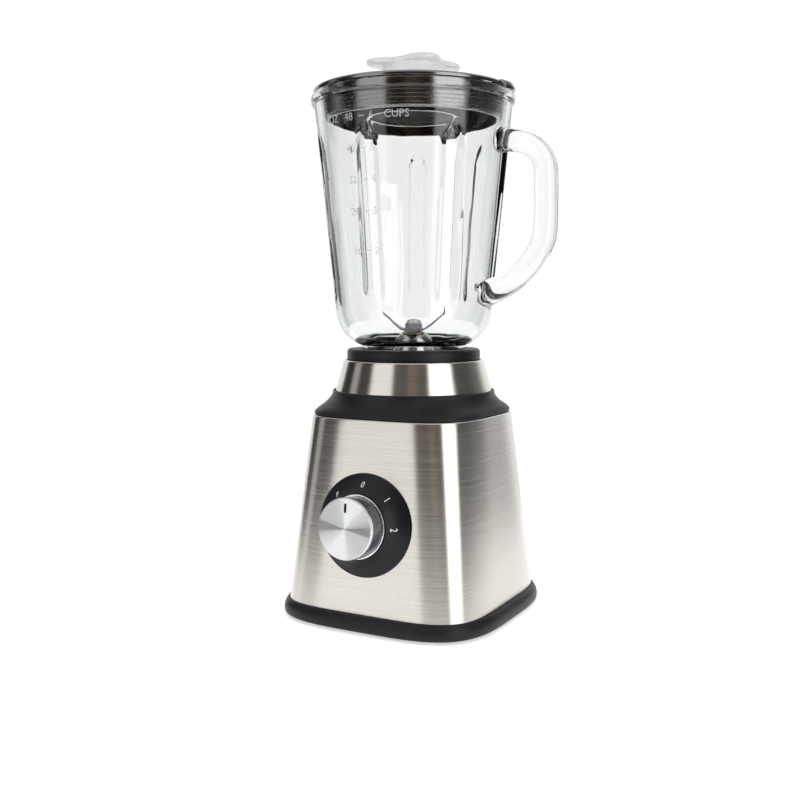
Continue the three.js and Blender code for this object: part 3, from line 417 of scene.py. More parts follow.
def rounded(points, radius, steps=3, closed=True):
    # corners eased by a short curve; radius is one size, or one for each corner
    line = []
    count = len(points)
    for i, here in enumerate(points):
        size = radius[i] if isinstance(radius, (list, tuple)) else radius
        before, after = points[i - 1], points[(i + 1) % count]
        if size <= 0 or (not closed and i in (0, count - 1)):
            line.append(here)
            continue
        lengths = [math.dist(here[:2], other[:2]) for other in (before, after)]
        near = []
        for other, length in zip((before, after), lengths):
            share = min(size, 0.45 * length) / max(length, 1e-6)
            near.append([h + (o - h) * share for h, o in zip(here, other)])
        for k in range(steps + 1):
            t = k / steps
            line.append(
                tuple(
                    (1 - t) ** 2 * a + 2 * t * (1 - t) * h + t * t * b
                    for a, h, b in zip(near[0], here, near[1])
                )
            )
    return line


def squareRadius(half, power, angle):
    # a circle at power 2, squarer above it
    spread = abs(math.cos(angle)) ** power + abs(math.sin(angle)) ** power
    return half / spread ** (1 / power)


def addObject(name, mesh, material):
    made = bpy.data.objects.new(name, mesh)
    bpy.context.scene.collection.objects.link(made)
    if material:
        mesh.materials.clear()
        mesh.materials.append(material)
    return made


def skin(work, rings):
    # faces between neighbouring outlines
    count = len(rings[0])
    for first, second in zip(rings, rings[1:]):
        for i in range(count):
            j = (i + 1) % count
            work.faces.new((first[i], first[j], second[j], second[i]))


def capped(work, rings):
    skin(work, rings)
    work.faces.new(rings[0][::-1])
    work.faces.new(rings[-1])


def meshFrom(name, work, sharp=38.0):
    if work.calc_volume(signed=True) < 0:
        bmesh.ops.reverse_faces(work, faces=work.faces)
    mesh = bpy.data.meshes.new(name)
    work.to_mesh(mesh)
    work.free()
    mesh.shade_smooth()
    mesh.set_sharp_from_angle(angle=math.radians(sharp))
    return mesh


def turnedMesh(name, profile, sides=160, centre=(axisX, axisY), sharp=38.0):
    # profile points are (half width, height) or (half width, height, power), in mm
    work = bmesh.new()
    rings = []
    for point in profile:
        half, height = point[:2]
        power = point[2] if len(point) > 2 else 2.0
        if half <= 1e-6:
            rings.append([work.verts.new((centre[0] * mm, centre[1] * mm, height * mm))])
            continue
        ring = []
        for i in range(sides):
            angle = 2 * math.pi * i / sides
            radius = half if power == 2.0 else squareRadius(half, power, angle)
            x = centre[0] + radius * math.cos(angle)
            y = centre[1] + radius * math.sin(angle)
            ring.append(work.verts.new((x * mm, y * mm, height * mm)))
        rings.append(ring)
    pairs = list(zip(rings, rings[1:]))
    if len(rings[0]) > 1 and len(rings[-1]) > 1:
        pairs.append((rings[-1], rings[0]))
    for first, second in pairs:
        for i in range(sides):
            j = (i + 1) % sides
            corners = [first[i % len(first)], first[j % len(first)]]
            corners += [second[j % len(second)], second[i % len(second)]]
            loop = [v for k, v in enumerate(corners) if v not in corners[:k]]
            if len(loop) > 2:
                work.faces.new(loop)
    return meshFrom(name, work, sharp)


def rod(radius, low, high):
    return [(0, low), (radius, low), (radius, high), (0, high)]


def sweptMesh(name, path, section):
    # section(i) gives the outline at path point i as (sideways, upwards) pairs, in mm
    work = bmesh.new()
    rings = []
    side = Vector((0, 1, 0))
    for i, here in enumerate(path):
        along = (path[min(i + 1, len(path) - 1)] - path[max(i - 1, 0)]).normalized()
        up = side.cross(along).normalized()
        ring = [work.verts.new((here + side * u + up * v) * mm) for u, v in section(i)]
        rings.append(ring)
    capped(work, rings)
    return meshFrom(name, work)


def blockMesh(name, low, high, bevel=0.0):
    work = bmesh.new()
    bmesh.ops.create_cube(work, size=1.0)
    low, high = Vector(low), Vector(high)
    for v in work.verts:
        v.co = Vector([l + (h - l) * (c + 0.5) for l, h, c in zip(low, high, v.co)]) * mm
    if bevel:
        bmesh.ops.bevel(
            work, geom=work.edges[:], offset=bevel * mm, segments=3, affect="EDGES", profile=0.5
        )
    return meshFrom(name, work)


def evaluatedMesh(piece):
    graph = bpy.context.evaluated_depsgraph_get()
    graph.update()
    return bpy.data.meshes.new_from_object(piece.evaluated_get(graph))


def carved(name, base, tools, operation="DIFFERENCE", material=None, sharp=38.0):
    piece = addObject(name, base, None)
    others = []
    for i, tool in enumerate(tools):
        other = addObject(f"{name}_tool_{i}", tool, None)
        change = piece.modifiers.new("cut", "BOOLEAN")
        change.operation = operation
        change.object = other
        change.solver = "MANIFOLD"
        others.append(other)
    mesh = evaluatedMesh(piece)
    for old in [piece, *others]:
        bpy.data.objects.remove(old)
    mesh.shade_smooth()
    mesh.set_sharp_from_angle(angle=math.radians(sharp))
    return addObject(name, mesh, material)


def placed(mesh, place):
    mesh.transform(place)
    return mesh


def aboutAxis(turn=0.0):
    return Matrix.Translation((axisX * mm, axisY * mm, 0)) @ Matrix.Rotation(turn, 4, "Z")


def standing(origin, side, upward, outward):
    # the place whose three axes are these directions
    columns = Matrix([Vector(direction) for direction in (side, upward, outward)])
    return Matrix.Translation(origin) @ columns.transposed().to_4x4()


def settle(piece, body, slot, *nodes):
    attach(piece, body)
    if nodes:
        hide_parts(*nodes)
    return piece


class Recipe(Graph):
    # a Geometry Nodes tree with named inputs
    def __init__(self, name, inputs):
        super().__init__(bpy.data.node_groups.new(name, "GeometryNodeTree"))
        face = self.tree.interface
        face.new_socket(name="Geometry", in_out="INPUT", socket_type="NodeSocketGeometry")
        for key, kind in inputs.items():
            face.new_socket(name=key, in_out="INPUT", socket_type="NodeSocket" + kind)
        face.new_socket(name="Geometry", in_out="OUTPUT", socket_type="NodeSocketGeometry")
        entry = self.tree.nodes.new("NodeGroupInput")
        self.entry = {socket.name: Value(self, socket) for socket in entry.outputs if socket.name}

    def joined(self, first, second):
        both = self.node("GeometryNodeJoinGeometry", {}, {"Geometry": first})
        self.tree.links.new(second.socket, both.socket.node.inputs[0])
        return both

    def finish(self, geometry):
        real = self.node("GeometryNodeRealizeInstances", {}, {"Geometry": geometry})
        painted = self.node(
            "GeometryNodeSetMaterial", {}, {"Geometry": real, "Material": self.entry["Finish"]}
        )
        out = self.tree.nodes.new("NodeGroupOutput")
        self.tree.links.new(painted.socket, out.inputs[0])

    def apply(self, name, base, values, sharp=38.0):
        holder = addObject(name + "_base", base, None)
        change = holder.modifiers.new("recipe", "NODES")
        change.node_group = self.tree
        for item in self.tree.interface.items_tree:
            if item.in_out == "INPUT" and item.name in values:
                change[item.identifier] = values[item.name]
        mesh = evaluatedMesh(holder)
        bpy.data.objects.remove(holder)
        mesh.name = name
        mesh.shade_smooth()
        mesh.set_sharp_from_angle(angle=math.radians(sharp))
        return mesh


def flutedRecipe():
    # presses pointed flutes into an upright wall and draws its rim out into a spout
    sizes = ["Spacing", "Phase", "Depth", "Half Width", "Flute Top", "Flute Foot", "Arch Length"]
    sizes += ["Axis X", "Axis Y", "Rim", "Spout Reach", "Spout Spread", "Spout Drop"]
    recipe = Recipe("flutedWall", dict({s: "Float" for s in sizes}, Finish="Material"))
    sizeOf = recipe.entry
    x, y, z = recipe.parts(recipe.node("GeometryNodeInputPosition"))
    dx, dy = x - sizeOf["Axis X"], y - sizeOf["Axis Y"]
    radius = (dx * dx + dy * dy).maths("SQRT")
    angle = recipe.maths("ARCTAN2", dy, dx)
    steps = ((angle - sizeOf["Phase"]) / sizeOf["Spacing"]).maths("ROUND")
    nearest = steps * sizeOf["Spacing"] + sizeOf["Phase"]
    side = (angle - nearest).maths("ABSOLUTE") * radius
    below = sizeOf["Flute Top"] - z
    arch = recipe.smooth(below / sizeOf["Arch Length"]).maths("SQRT") * sizeOf["Half Width"]
    inside = 1 - side / arch.maths("MAXIMUM", 0.0001)
    share = recipe.node(
        "GeometryNodeInputNamedAttribute", {"data_type": "FLOAT"}, {"Name": "pressShare"}
    )
    fade = recipe.smooth((z - sizeOf["Flute Foot"]) / sizeOf["Arch Length"])
    deepFrom = 0.7  # share of the arch's length over which the flute reaches its depth
    flatFrom = 0.62  # share of the way in where its floor begins
    ramp = recipe.smooth(below / (sizeOf["Arch Length"] * deepFrom))
    press = recipe.smooth(inside, 0.0, flatFrom) * ramp * sizeOf["Depth"] * fade * share
    fromSpout = (math.pi - angle.maths("ABSOLUTE")) / sizeOf["Spout Spread"]
    swell = (fromSpout * fromSpout * -1).maths("EXPONENT")  # the spout is at -X
    lip = recipe.smooth(1 - (sizeOf["Rim"] - z) / sizeOf["Spout Drop"]) ** 1.5
    push = swell * lip * sizeOf["Spout Reach"] - press
    scale = (radius + push) / radius.maths("MAXIMUM", 0.0001)
    place = recipe.joinParts(sizeOf["Axis X"] + dx * scale, sizeOf["Axis Y"] + dy * scale, z)
    moved = recipe.node(
        "GeometryNodeSetPosition", {}, {"Geometry": sizeOf["Geometry"], "Position": place}
    )
    recipe.finish(moved)
    return recipe


def copiesRecipe():
    # one copy of a made piece at every point of the base
    recipe = Recipe("copiesOnPoints", {"Piece": "Object", "Finish": "Material"})
    points = recipe.node("GeometryNodeMeshToPoints", {}, {"Mesh": recipe.entry["Geometry"]})
    made = recipe.node(
        "GeometryNodeObjectInfo", {}, {"Object": recipe.entry["Piece"]}, output="Geometry"
    )
    turnEach = 0.7  # radians from one copy to the next, so that no two stand alike
    turn = recipe.node("GeometryNodeInputIndex") * turnEach
    copies = recipe.node(
        "GeometryNodeInstanceOnPoints",
        {},
        {"Points": points, "Instance": made, "Rotation": recipe.joinParts(0.0, 0.0, turn)},
    )
    recipe.finish(copies)
    return recipe


def knurlRecipe():
    # leaning ridges round a drum that stands on the origin
    inputs = {"Ridges": "Int", "Radius": "Float", "Low": "Float", "High": "Float"}
    inputs.update({"Width": "Float", "Lean": "Float", "Finish": "Material"})
    recipe = Recipe("leaningKnurl", inputs)
    sizeOf = recipe.entry
    length = sizeOf["High"] - sizeOf["Low"]
    circle = recipe.node(
        "GeometryNodeMeshCircle", {}, {"Vertices": sizeOf["Ridges"], "Radius": sizeOf["Radius"]}
    )
    middle = recipe.joinParts(0.0, 0.0, (sizeOf["High"] + sizeOf["Low"]) / 2)
    lifted = recipe.node("GeometryNodeSetPosition", {}, {"Geometry": circle, "Offset": middle})
    size = recipe.joinParts(sizeOf["Width"], sizeOf["Width"], length)
    bar = recipe.node("GeometryNodeMeshCube", {}, {"Size": size, "Vertices Z": 5})
    ridge = recipe.node(
        "GeometryNodeTransform", {}, {"Geometry": bar, "Rotation": (0, 0, math.pi / 4)}
    )
    leaning = recipe.node(
        "GeometryNodeTransform",
        {},
        {"Geometry": ridge, "Rotation": recipe.joinParts(sizeOf["Lean"], 0.0, 0.0)},
    )
    step = 2 * math.pi / sizeOf["Ridges"]
    turn = recipe.node("GeometryNodeInputIndex") * step
    copies = recipe.node(
        "GeometryNodeInstanceOnPoints",
        {},
        {"Points": lifted, "Instance": leaning, "Rotation": recipe.joinParts(0.0, 0.0, turn)},
    )
    recipe.finish(recipe.joined(sizeOf["Geometry"], copies))
    return recipe


def hoopRecipe():
    # evenly spaced hoops up a cone
    inputs = {"Hoops": "Int", "Foot": "Float", "Pitch": "Float", "Foot Radius": "Float"}
    inputs.update({"Growth": "Float", "Thickness": "Float", "Axis": "Vector", "Finish": "Material"})
    recipe = Recipe("hoopStack", inputs)
    sizeOf = recipe.entry
    index = recipe.node("GeometryNodeInputIndex")
    line = recipe.node("GeometryNodeMeshLine", {}, {"Count": sizeOf["Hoops"], "Offset": (0, 0, 0)})
    ax, ay, _ = recipe.parts(sizeOf["Axis"])
    spot = recipe.joinParts(ax, ay, sizeOf["Foot"] + index * sizeOf["Pitch"])
    places = recipe.node("GeometryNodeSetPosition", {}, {"Geometry": line, "Position": spot})
    hoop = recipe.node("GeometryNodeCurvePrimitiveCircle", {}, {"Resolution": 192, "Radius": 1.0})
    radius = sizeOf["Foot Radius"] + index * sizeOf["Growth"]
    hoops = recipe.node(
        "GeometryNodeInstanceOnPoints",
        {},
        {"Points": places, "Instance": hoop, "Scale": recipe.joinParts(radius, radius, 1.0)},
    )
    lines = recipe.node("GeometryNodeRealizeInstances", {}, {"Geometry": hoops})
    section = recipe.node(
        "GeometryNodeCurvePrimitiveCircle", {}, {"Resolution": 10, "Radius": sizeOf["Thickness"]}
    )
    tubes = recipe.node("GeometryNodeCurveToMesh", {}, {"Curve": lines, "Profile Curve": section})
    recipe.finish(recipe.joined(sizeOf["Geometry"], tubes))
    return recipe


fluted = flutedRecipe()
copies = copiesRecipe()
knurled = knurlRecipe()
hooped = hoopRecipe()
print("recipes made")

# the base: band, shell, shoulder, ring and seat
bandLow = span("foot_band")[0]
shellLow, shellHigh = span("steel_shell")
shoulderHigh = span("shoulder")[1]
seatLow, seatHigh = span("jug_seat")
coverHigh = span("bottom_cover")[1]

base = {
    "bandBulge": 0.8,  # widest line of the band beyond its stated half width
    "bandPower": 3.7,
    "shellFootPower": 4.4,
    "shellTopPower": 3.5,
    "shellWall": 1.2,
    "locating": 4.0,  # lip of the band inside the shell
    "lipWall": 1.6,
    "gap": 0.3,
    "foldedRim": 3.4,  # how far the shell's top edge is folded in
    "foldRadius": 1.1,
    "switchHole": 6.0,
    "glandHole": 6.9,
    "ringNarrowing": 6.7,
    "ringWall": 1.7,
    "lugs": (1, 3, 5, 7),  # eighths of a turn round the seat
}
bandHalf = halfWide("foot_band") - base["bandBulge"]
shellFoot = halfWide("steel_shell")
shellTop = halfWide("shoulder") + 1
shellBottom, shellRim = shellLow.z, shellHigh.z
shellSlope = (shellFoot - shellTop) / (shellRim - shellBottom)


def footBand():
    low, top = bandLow.z, shellBottom - base["gap"]
    power, foot = base["bandPower"], base["shellFootPower"]
    lip = shellFoot - base["locating"] * shellSlope - base["shellWall"] - 2 * base["gap"]
    lipBore = lip - base["lipWall"]
    coverEdge = halfWide("bottom_cover") + base["gap"]
    ledge = coverHigh.z + 0.3
    outer = smoothed(
        [
            (bandHalf - 2.4, low, power),
            (bandHalf - 0.7, low + 0.5, power),
            (bandHalf + 0.55, low + 1.9, power),
            (bandHalf + 0.75, low + 4.6, power),
            (bandHalf + 0.1, low + 7.8, power),
            (bandHalf - 1.1, top - 1.5, power),
            (bandHalf - 1.75, top - 0.35, power),
            (bandHalf - 2.5, top, power),
        ],
        4,
    )
    inner = [
        (lip, top, foot),
        (lip, top + base["locating"], foot),
        (lipBore, top + base["locating"], foot),
        (lipBore, ledge, foot),
        (coverEdge, ledge, foot),
        (coverEdge, low, foot),
    ]
    mesh = turnedMesh("foot_band_smooth", outer + inner, 256)
    settle(addObject("foot_band_smooth", mesh, bandBlack), "base", "black_plastic", "foot_band")


def knobFrame():
    joint = next(j for j in frame["joints"] if j["name"] == "knob_turn")
    outward = -Vector(joint["axis"]).normalized()
    upward = Vector((0, 0, 1)) - outward * outward.z
    upward.normalize()
    return standing(joint["pos_m"], (1, 0, 0), upward, outward)


dialPlace = knobFrame()


def onDial(name, profile, sides, sharp=38.0):
    return placed(turnedMesh(name, profile, sides, (0, 0), sharp), dialPlace)


def glandFrame():
    low, high = span("cord_gland")
    height = (low.z + high.z) / 2
    tilt = math.atan(shellSlope)
    upward = (0, -math.sin(tilt), math.cos(tilt))
    outward = (0, math.cos(tilt), math.sin(tilt))
    y = axisY + shellFoot - (height - shellBottom) * shellSlope
    return standing((axisX * mm, y * mm, height * mm), (-1, 0, 0), upward, outward)


def steelShell():
    middle = (shellBottom + shellRim) / 2
    half = (shellFoot + shellTop) / 2
    foot, top = base["shellFootPower"], base["shellTopPower"]
    wall, fold, bend = base["shellWall"], base["foldedRim"], base["foldRadius"]
    outer = smoothed(
        [
            (shellFoot, shellBottom, foot),
            (half, middle, (foot + top) / 2),
            (shellTop + bend * shellSlope, shellRim - bend, top),
        ],
        10,
    )
    roll = [
        (shellTop - 0.12, shellRim - 0.45, top),
        (shellTop - 0.5, shellRim - 0.1, top),
        (shellTop - bend, shellRim, top),
        (shellTop - fold, shellRim, top),
        (shellTop - fold, shellRim - wall, top),
        (shellTop - wall - 0.2, shellRim - wall, top),
        (half - wall, middle, (foot + top) / 2),
        (shellFoot - wall, shellBottom, foot),
    ]
    mesh = turnedMesh("brushed_shell", outer + roll, 320)
    drills = [(base["switchHole"], dialPlace), (base["glandHole"], glandFrame())]
    holes = [
        placed(turnedMesh("hole", rod(radius, -20, 20), 48, (0, 0)), place)
        for radius, place in drills
    ]
    piece = carved("brushed_shell", mesh, holes, material=levelSteel)
    settle(piece, "base", "shell_steel", "steel_shell")


def shoulderCollar():
    low, top = shellRim + base["gap"], shoulderHigh.z
    foot = shellTop - 1
    rim = halfWide("trim_ring") + 1.7
    seatEdge = seatHigh.x - axisX - 3.4  # under the seat's flange
    outer = smoothed(
        [
            (foot - 0.6, low, 3.5),
            (foot, low + 0.7, 3.5),
            (foot - 0.15, low + 2.2, 3.5),
            (foot - 1.3, low + 4.7, 3.15),
            (rim + 1.1, low + 7.6, 2.65),
            (rim + 0.25, low + 10.8, 2.25),
            (rim, top - 2.6, 2.0),
            (rim - 0.05, top - 0.8, 2.0),
            (rim - 0.5, top - 0.1, 2.0),
            (rim - 1.4, top, 2.0),
        ],
        5,
    )
    inner = [
        (rim - 1.4, top - 2.4, 2.0),
        (seatEdge, top - 2.4, 2.0),
        (seatEdge, top - 5.4, 2.0),
        (rim - 2.6, top - 5.4, 2.2),
        (rim - 1.4, low + 7, 2.8),
        (foot - 2.6, low, 3.5),
    ]
    mesh = turnedMesh("shoulder_smooth", outer + inner, 256)
    settle(addObject("shoulder_smooth", mesh, satinBlack), "base", "black_plastic", "shoulder")


def trimRing():
    foot, top = ringLow.z, ringHigh.z
    wide = halfWide("trim_ring")
    narrow = wide - base["ringNarrowing"]
    bore = narrow - base["ringWall"]
    side = [(wide, foot), (wide - 0.8, foot + 3), (narrow + 3.1, foot + 13)]
    profile = smoothed([*side, (narrow + 0.5, top - 1.2)], 6)
    profile += [
        (narrow + 0.32, top - 0.55),
        (narrow + 0.05, top - 0.2),
        (narrow - 0.35, top),
        (bore, top),
        (bore, top - 1),
        (narrow - 0.6, top - 1.4),
        (wide - 1.6, foot + 3),
        (wide - 1, foot),
    ]
    mesh = turnedMesh("brushed_ring", profile, 256)
    settle(addObject("brushed_ring", mesh, roundSteel), "base", "ring_steel", "trim_ring")


def lugTools(radius, depth, halfWidth, low, high):
    # upright bars round the seat, which are added to it and cut from the collar
    tools = []
    for eighth in base["lugs"]:
        near, far = (radius - depth, -halfWidth, low), (radius + 1.4, halfWidth, high)
        tools.append(placed(blockMesh("lug", near, far, 0.6), aboutAxis(eighth * math.pi / 4)))
    return tools


def jugSeat():
    low, top = seatLow.z, seatHigh.z
    flange = halfWide("jug_seat")
    outer = flange - 3.7
    bore = outer - 2.8
    hole, inside = 6.3, low + 2.5
    profile = rounded(
        [
            (hole, low), (outer, low), (outer, top - 30), (flange, top - 30), (flange, top - 27),
            (outer, top - 27), (outer, top), (bore, top), (bore, inside), (hole + 3, inside),
            (hole + 3, inside + 4), (hole, inside + 4),
        ],
        [0, 1.5, 0, 0.4, 0.4, 0, 0.5, 0.5, 1.2, 0.8, 0.6, 0.6],
    )
    mesh = turnedMesh("jug_seat_smooth", profile, 160)
    lugs = lugTools(bore, 1.9, 2.5, inside - 0.6, top - 7)
    piece = carved("jug_seat_smooth", mesh, lugs, "UNION", satinBlack)
    settle(piece, "base", "black_plastic", "jug_seat")


def cordGland():
    place = glandFrame()
    profile = rounded(
        [
            (4.2, -6), (8.6, -6), (8.6, -1.8), (6.6, -1.8),
            (6.6, 0.3), (9.2, 0.3), (8.8, 2.4), (4.2, 2.4),
        ],
        [0.4, 0.5, 0.3, 0, 0, 0.5, 0.9, 0.9],
    )
    mesh = placed(turnedMesh("cord_gland_smooth", profile, 64, (0, 0)), place)
    settle(addObject("cord_gland_smooth", mesh, rubberBlack), "base", "black_rubber", "cord_gland")


def fixings(name, nodes, height, master, material, slot):
    # one fixing at the middle of each node, by the recipe for copies
    spots = []
    for node in nodes:
        low, high = span(node)
        spots.append(Vector(((low.x + high.x) / 2, (low.y + high.y) / 2, height)) * mm)
    corners = bpy.data.meshes.new("corners")
    corners.from_pydata(spots, [], [])
    mesh = copies.apply(name, corners, {"Piece": master, "Finish": material})
    bpy.data.objects.remove(master)
    settle(addObject(name, mesh, material), "base", slot, *nodes)


screw = {"shank": 1.8, "headHeight": 1.8, "crossReach": 2.1, "crossHalf": 0.4}


def coverScrews():
    nodes = [f"cover_screw_{i}" for i in range(1, 5)]
    low, high = span(nodes[0])
    tall = high.z - low.z
    head, neck, shank = halfWide(nodes[0]), screw["headHeight"], screw["shank"]
    side = rounded([(head - 0.5, 0), (head, 0.9), (head, neck), (shank, neck)], 0.3, 3, False)
    profile = [(0, 0.2), *side, (shank, tall - 1), (0, tall)]
    reach, half = screw["crossReach"], screw["crossHalf"]
    cross = [blockMesh("slot", (-x, -y, -1), (x, y, 1)) for x, y in ((reach, half), (half, reach))]
    master = carved("screw_master", turnedMesh("screw", profile, 32, (0, 0)), cross)
    fixings("cover_screws", nodes, low.z, master, zincSteel, "fastener_steel")


foot = {"sole": 2.7, "stem": 3.2, "plate": 5.8, "barb": 4.2, "tip": 2.4, "grooves": (2.2, 4.4)}


def rubberFeet():
    nodes = [f"rubber_foot_{i}" for i in range(1, 5)]
    wide, top = halfWide(nodes[0]), span(nodes[0])[1].z
    sole, stem, plate = foot["sole"], foot["stem"], foot["plate"]
    side = rounded([(wide - 1.6, 0), (wide, sole), (stem, sole), (stem, plate)], 0.7, 3, False)
    profile = [(0, 0), *side, (foot["barb"], plate), (foot["tip"], top), (0, top)]
    rings = [
        turnedMesh("groove", [(r, -0.4), (r + 0.7, -0.4), (r + 0.7, 0.35), (r, 0.35)], 48, (0, 0))
        for r in foot["grooves"]
    ]
    master = carved("foot_master", turnedMesh("foot", profile, 48, (0, 0)), rings)
    fixings("rubber_feet", nodes, 0, master, rubberBlack, "black_rubber")


footBand()
steelShell()
shoulderCollar()
trimRing()
jugSeat()
cordGland()
coverScrews()
rubberFeet()
print("base made")

# the dial is drawn on the origin, facing up, and placed by dialPlace
dial = {
    "rise": 10.4,
    "radius": 35.9,
    "bore": 5.1,
    "knobRadius": 21.2,
    "knobHeight": 15.5,
    "ridges": 64,
    "ridgeWidth": 1.25,
    "lean": 0.5,
    "pointer": (10.9, 17.1),  # from the knob's middle
    "figureHeight": 3.7,
    # what each says, how far round in degrees, and how far out
    "figures": [("P", -45, 27.9), ("0", 0, 28.2), ("1", 45, 27.7), ("2", 90, 26.4)],
}
knobFoot = dial["rise"] + 0.5
flare = dial["radius"] - dial["knobRadius"] - 2
flareShape = [(0.28, 0.2), (0.52, 0.38), (0.76, 0.63)]  # shares of the way in and up
flareCurve = smoothed(
    [
        (dial["radius"], 0.7),
        *[(dial["radius"] - flare * inward, dial["rise"] * up) for inward, up in flareShape],
        (dial["knobRadius"] + 2.2, dial["rise"] * 0.93),
        (dial["knobRadius"] + 1.6, dial["rise"]),
    ],
    6,
)


def flareHeight(radius):
    for (r0, h0), (r1, h1) in zip(flareCurve, flareCurve[1:]):
        if r1 <= radius <= r0:
            return h0 + (h1 - h0) * (r0 - radius) / max(r0 - r1, 1e-6)
    return flareCurve[0][1]


def dialPlate():
    profile = [(dial["bore"], 0.4), (dial["radius"] - 0.6, 0.4), (dial["radius"], 0.45)]
    profile += flareCurve + [(dial["bore"], dial["rise"])]
    mesh = onDial("dial_plate_smooth", profile, 200)
    settle(addObject("dial_plate_smooth", mesh, dialBlack), "base", "black_plastic", "dial_plate")


def textMesh(name, words, height, depth):
    curve = bpy.data.curves.new(name, "FONT")
    curve.body = words
    curve.size = height * mm / 0.7
    curve.align_x = "CENTER"
    curve.align_y = "CENTER"
    curve.extrude = depth * mm / 2
    curve.resolution_u = 4
    holder = bpy.data.objects.new(name, curve)
    bpy.context.scene.collection.objects.link(holder)
    mesh = evaluatedMesh(holder)
    bpy.data.objects.remove(holder)
    return mesh


def joinMeshes(name, meshes, material):
    work = bmesh.new()
    for mesh in meshes:
        work.from_mesh(mesh)
    bmesh.ops.remove_doubles(work, verts=work.verts, dist=1e-7)
    mesh = bpy.data.meshes.new(name)
    work.to_mesh(mesh)
    work.free()
    return addObject(name, mesh, material)


def dialFigures():
    made = []
    for words, degrees, radius in dial["figures"]:
        mesh = textMesh("figure", words, dial["figureHeight"], 0.16)
        turn = Matrix.Rotation(-math.radians(degrees), 4, "Z")
        mesh.transform(turn @ Matrix.Translation((0, radius * mm, 0)))
        for v in mesh.vertices:  # laid on the flare
            reach = math.hypot(v.co.x, v.co.y) / mm
            v.co.z += (flareHeight(reach) + 0.04) * mm
        made.append(placed(mesh, dialPlace))
    settle(joinMeshes("dial_figures", made, markWhite), "base", "white_mark")


def speedKnob():
    radius, low = dial["knobRadius"], knobFoot + 1.5
    high = knobFoot + dial["knobHeight"] - 2.9
    bore, skirt = 3.3, radius - 4.3
    profile = rounded(
        [
            (bore, knobFoot), (skirt, knobFoot), (skirt, low),
            (radius - 0.5, low), (radius - 0.75, high), (bore, high),
        ],
        [0.2, 0.2, 0, 0.3, 0.3, 0.2],
    )
    drum = turnedMesh("drum", profile, 192, (0, 0))
    values = {
        "Ridges": dial["ridges"],
        "Radius": (radius - 0.85) * mm,
        "Low": (low + 0.5) * mm,
        "High": (high - 0.4) * mm,
        "Width": dial["ridgeWidth"] * mm,
        "Lean": dial["lean"],
        "Finish": knobBlack,
    }
    mesh = placed(knurled.apply("knurled_knob", drum, values, 30), dialPlace)
    settle(addObject("knurled_knob", mesh, knobBlack), "knob", "black_plastic", "speed_knob")


def knobFaceDisc():
    radius = dial["knobRadius"]
    high = knobFoot + dial["knobHeight"]
    low = high - 2.6
    profile = [(0, low), (radius - 0.45, low), (radius - 0.2, low + 0.25), (radius - 0.2, low + 1.3)]
    profile += [(radius - 0.3, high - 0.85), (radius - 0.85, high - 0.1), (radius - 1.15, high - 0.1)]
    profile += [(radius - 1.3, high), (0, high)]
    disc = onDial("turned_face", profile, 192, 20)
    near, far = dial["pointer"]
    slot = placed(blockMesh("slot", (-1.0, near, high - 1.1), (1.0, far, high + 1)), dialPlace)
    centre = dialPlace @ Vector((0, 0, high * mm))
    outward = dialPlace.to_3x3() @ Vector((0, 0, 1))
    material = turnedFace("turnedAluminium", centre, outward, faceTurning)
    piece = carved("turned_face", disc, [slot], material=material, sharp=20)
    settle(piece, "knob", "knob_aluminium", "knob_face")
    bar = blockMesh("pointer_mark", (-0.7, near + 0.3, high - 0.8), (0.7, far - 0.3, high), 0.15)
    mark = addObject("pointer_mark", placed(bar, dialPlace), dialBlack)
    settle(mark, "knob", "white_mark", "knob_pointer")


def knobBaseRing():
    inside, outside = dial["knobRadius"] - 4, dial["knobRadius"] + 0.9
    low, high = knobFoot, knobFoot + 1.2
    corners = [(inside, low), (outside, low), (outside, high), (inside, high)]
    mesh = onDial("chrome_base_ring", rounded(corners, 0.45), 160)
    settle(addObject("chrome_base_ring", mesh, chromeTrim), "knob", "knob_chrome", "knob_base_ring")


dialPlate()
dialFigures()
speedKnob()
knobFaceDisc()
knobBaseRing()
print("dial made")

jugLow, jugHigh = span("glass_jug")
handleHigh = span("jug_handle")[1]
collarLow, collarHigh = span("jug_collar")
gasketLow = span("jug_gasket")[0]
jug = {
    "neckRadius": 38.0,
    "wall": 4.2,
    "bowlRadius": 56.9,
    "bowlCorner": 27.6,
    "taper": 14.7,
    "bead": 1.2,
    "flutes": 7,
    "fluteTurn": -90.2,  # degrees, the flute over the dial
    "fluteDepth": 3.8,
    "innerShare": 0.05,
    "fluteHalfWidth": 9.5,
    "fluteTop": 25.0,  # below the rim
    "archLength": 20.0,
    "spoutReach": 6.0,
    "spoutSpread": 0.38,  # in radians, to either side
    "spoutDrop": 30.0,
    "beadHeight": 7.5,
    "handleTop": 36.0,  # below the rim
    "handleRoot": 3.4,  # how deep its ends go into the wall
    "handleThick": 15.0,
    "handleWide": 18.5,
    "handlePower": 2.8,
}
rim = jugHigh.z
bowlMiddle = collarHigh.z + jug["bowlCorner"] + 1
rimRadius = jug["bowlRadius"] + jug["taper"]


def jugRadiusAt(height):
    return jug["bowlRadius"] + (height - bowlMiddle) * jug["taper"] / (rim - bowlMiddle)


def bowlArc(corner, startRadius, steps):
    middle = jug["bowlRadius"] - jug["bowlCorner"]
    start = math.asin((startRadius - middle) / corner)
    points = []
    for i in range(steps + 1):
        angle = start + (math.pi / 2 - start) * i / steps
        points.append((middle + corner * math.sin(angle), bowlMiddle - corner * math.cos(angle)))
    return points


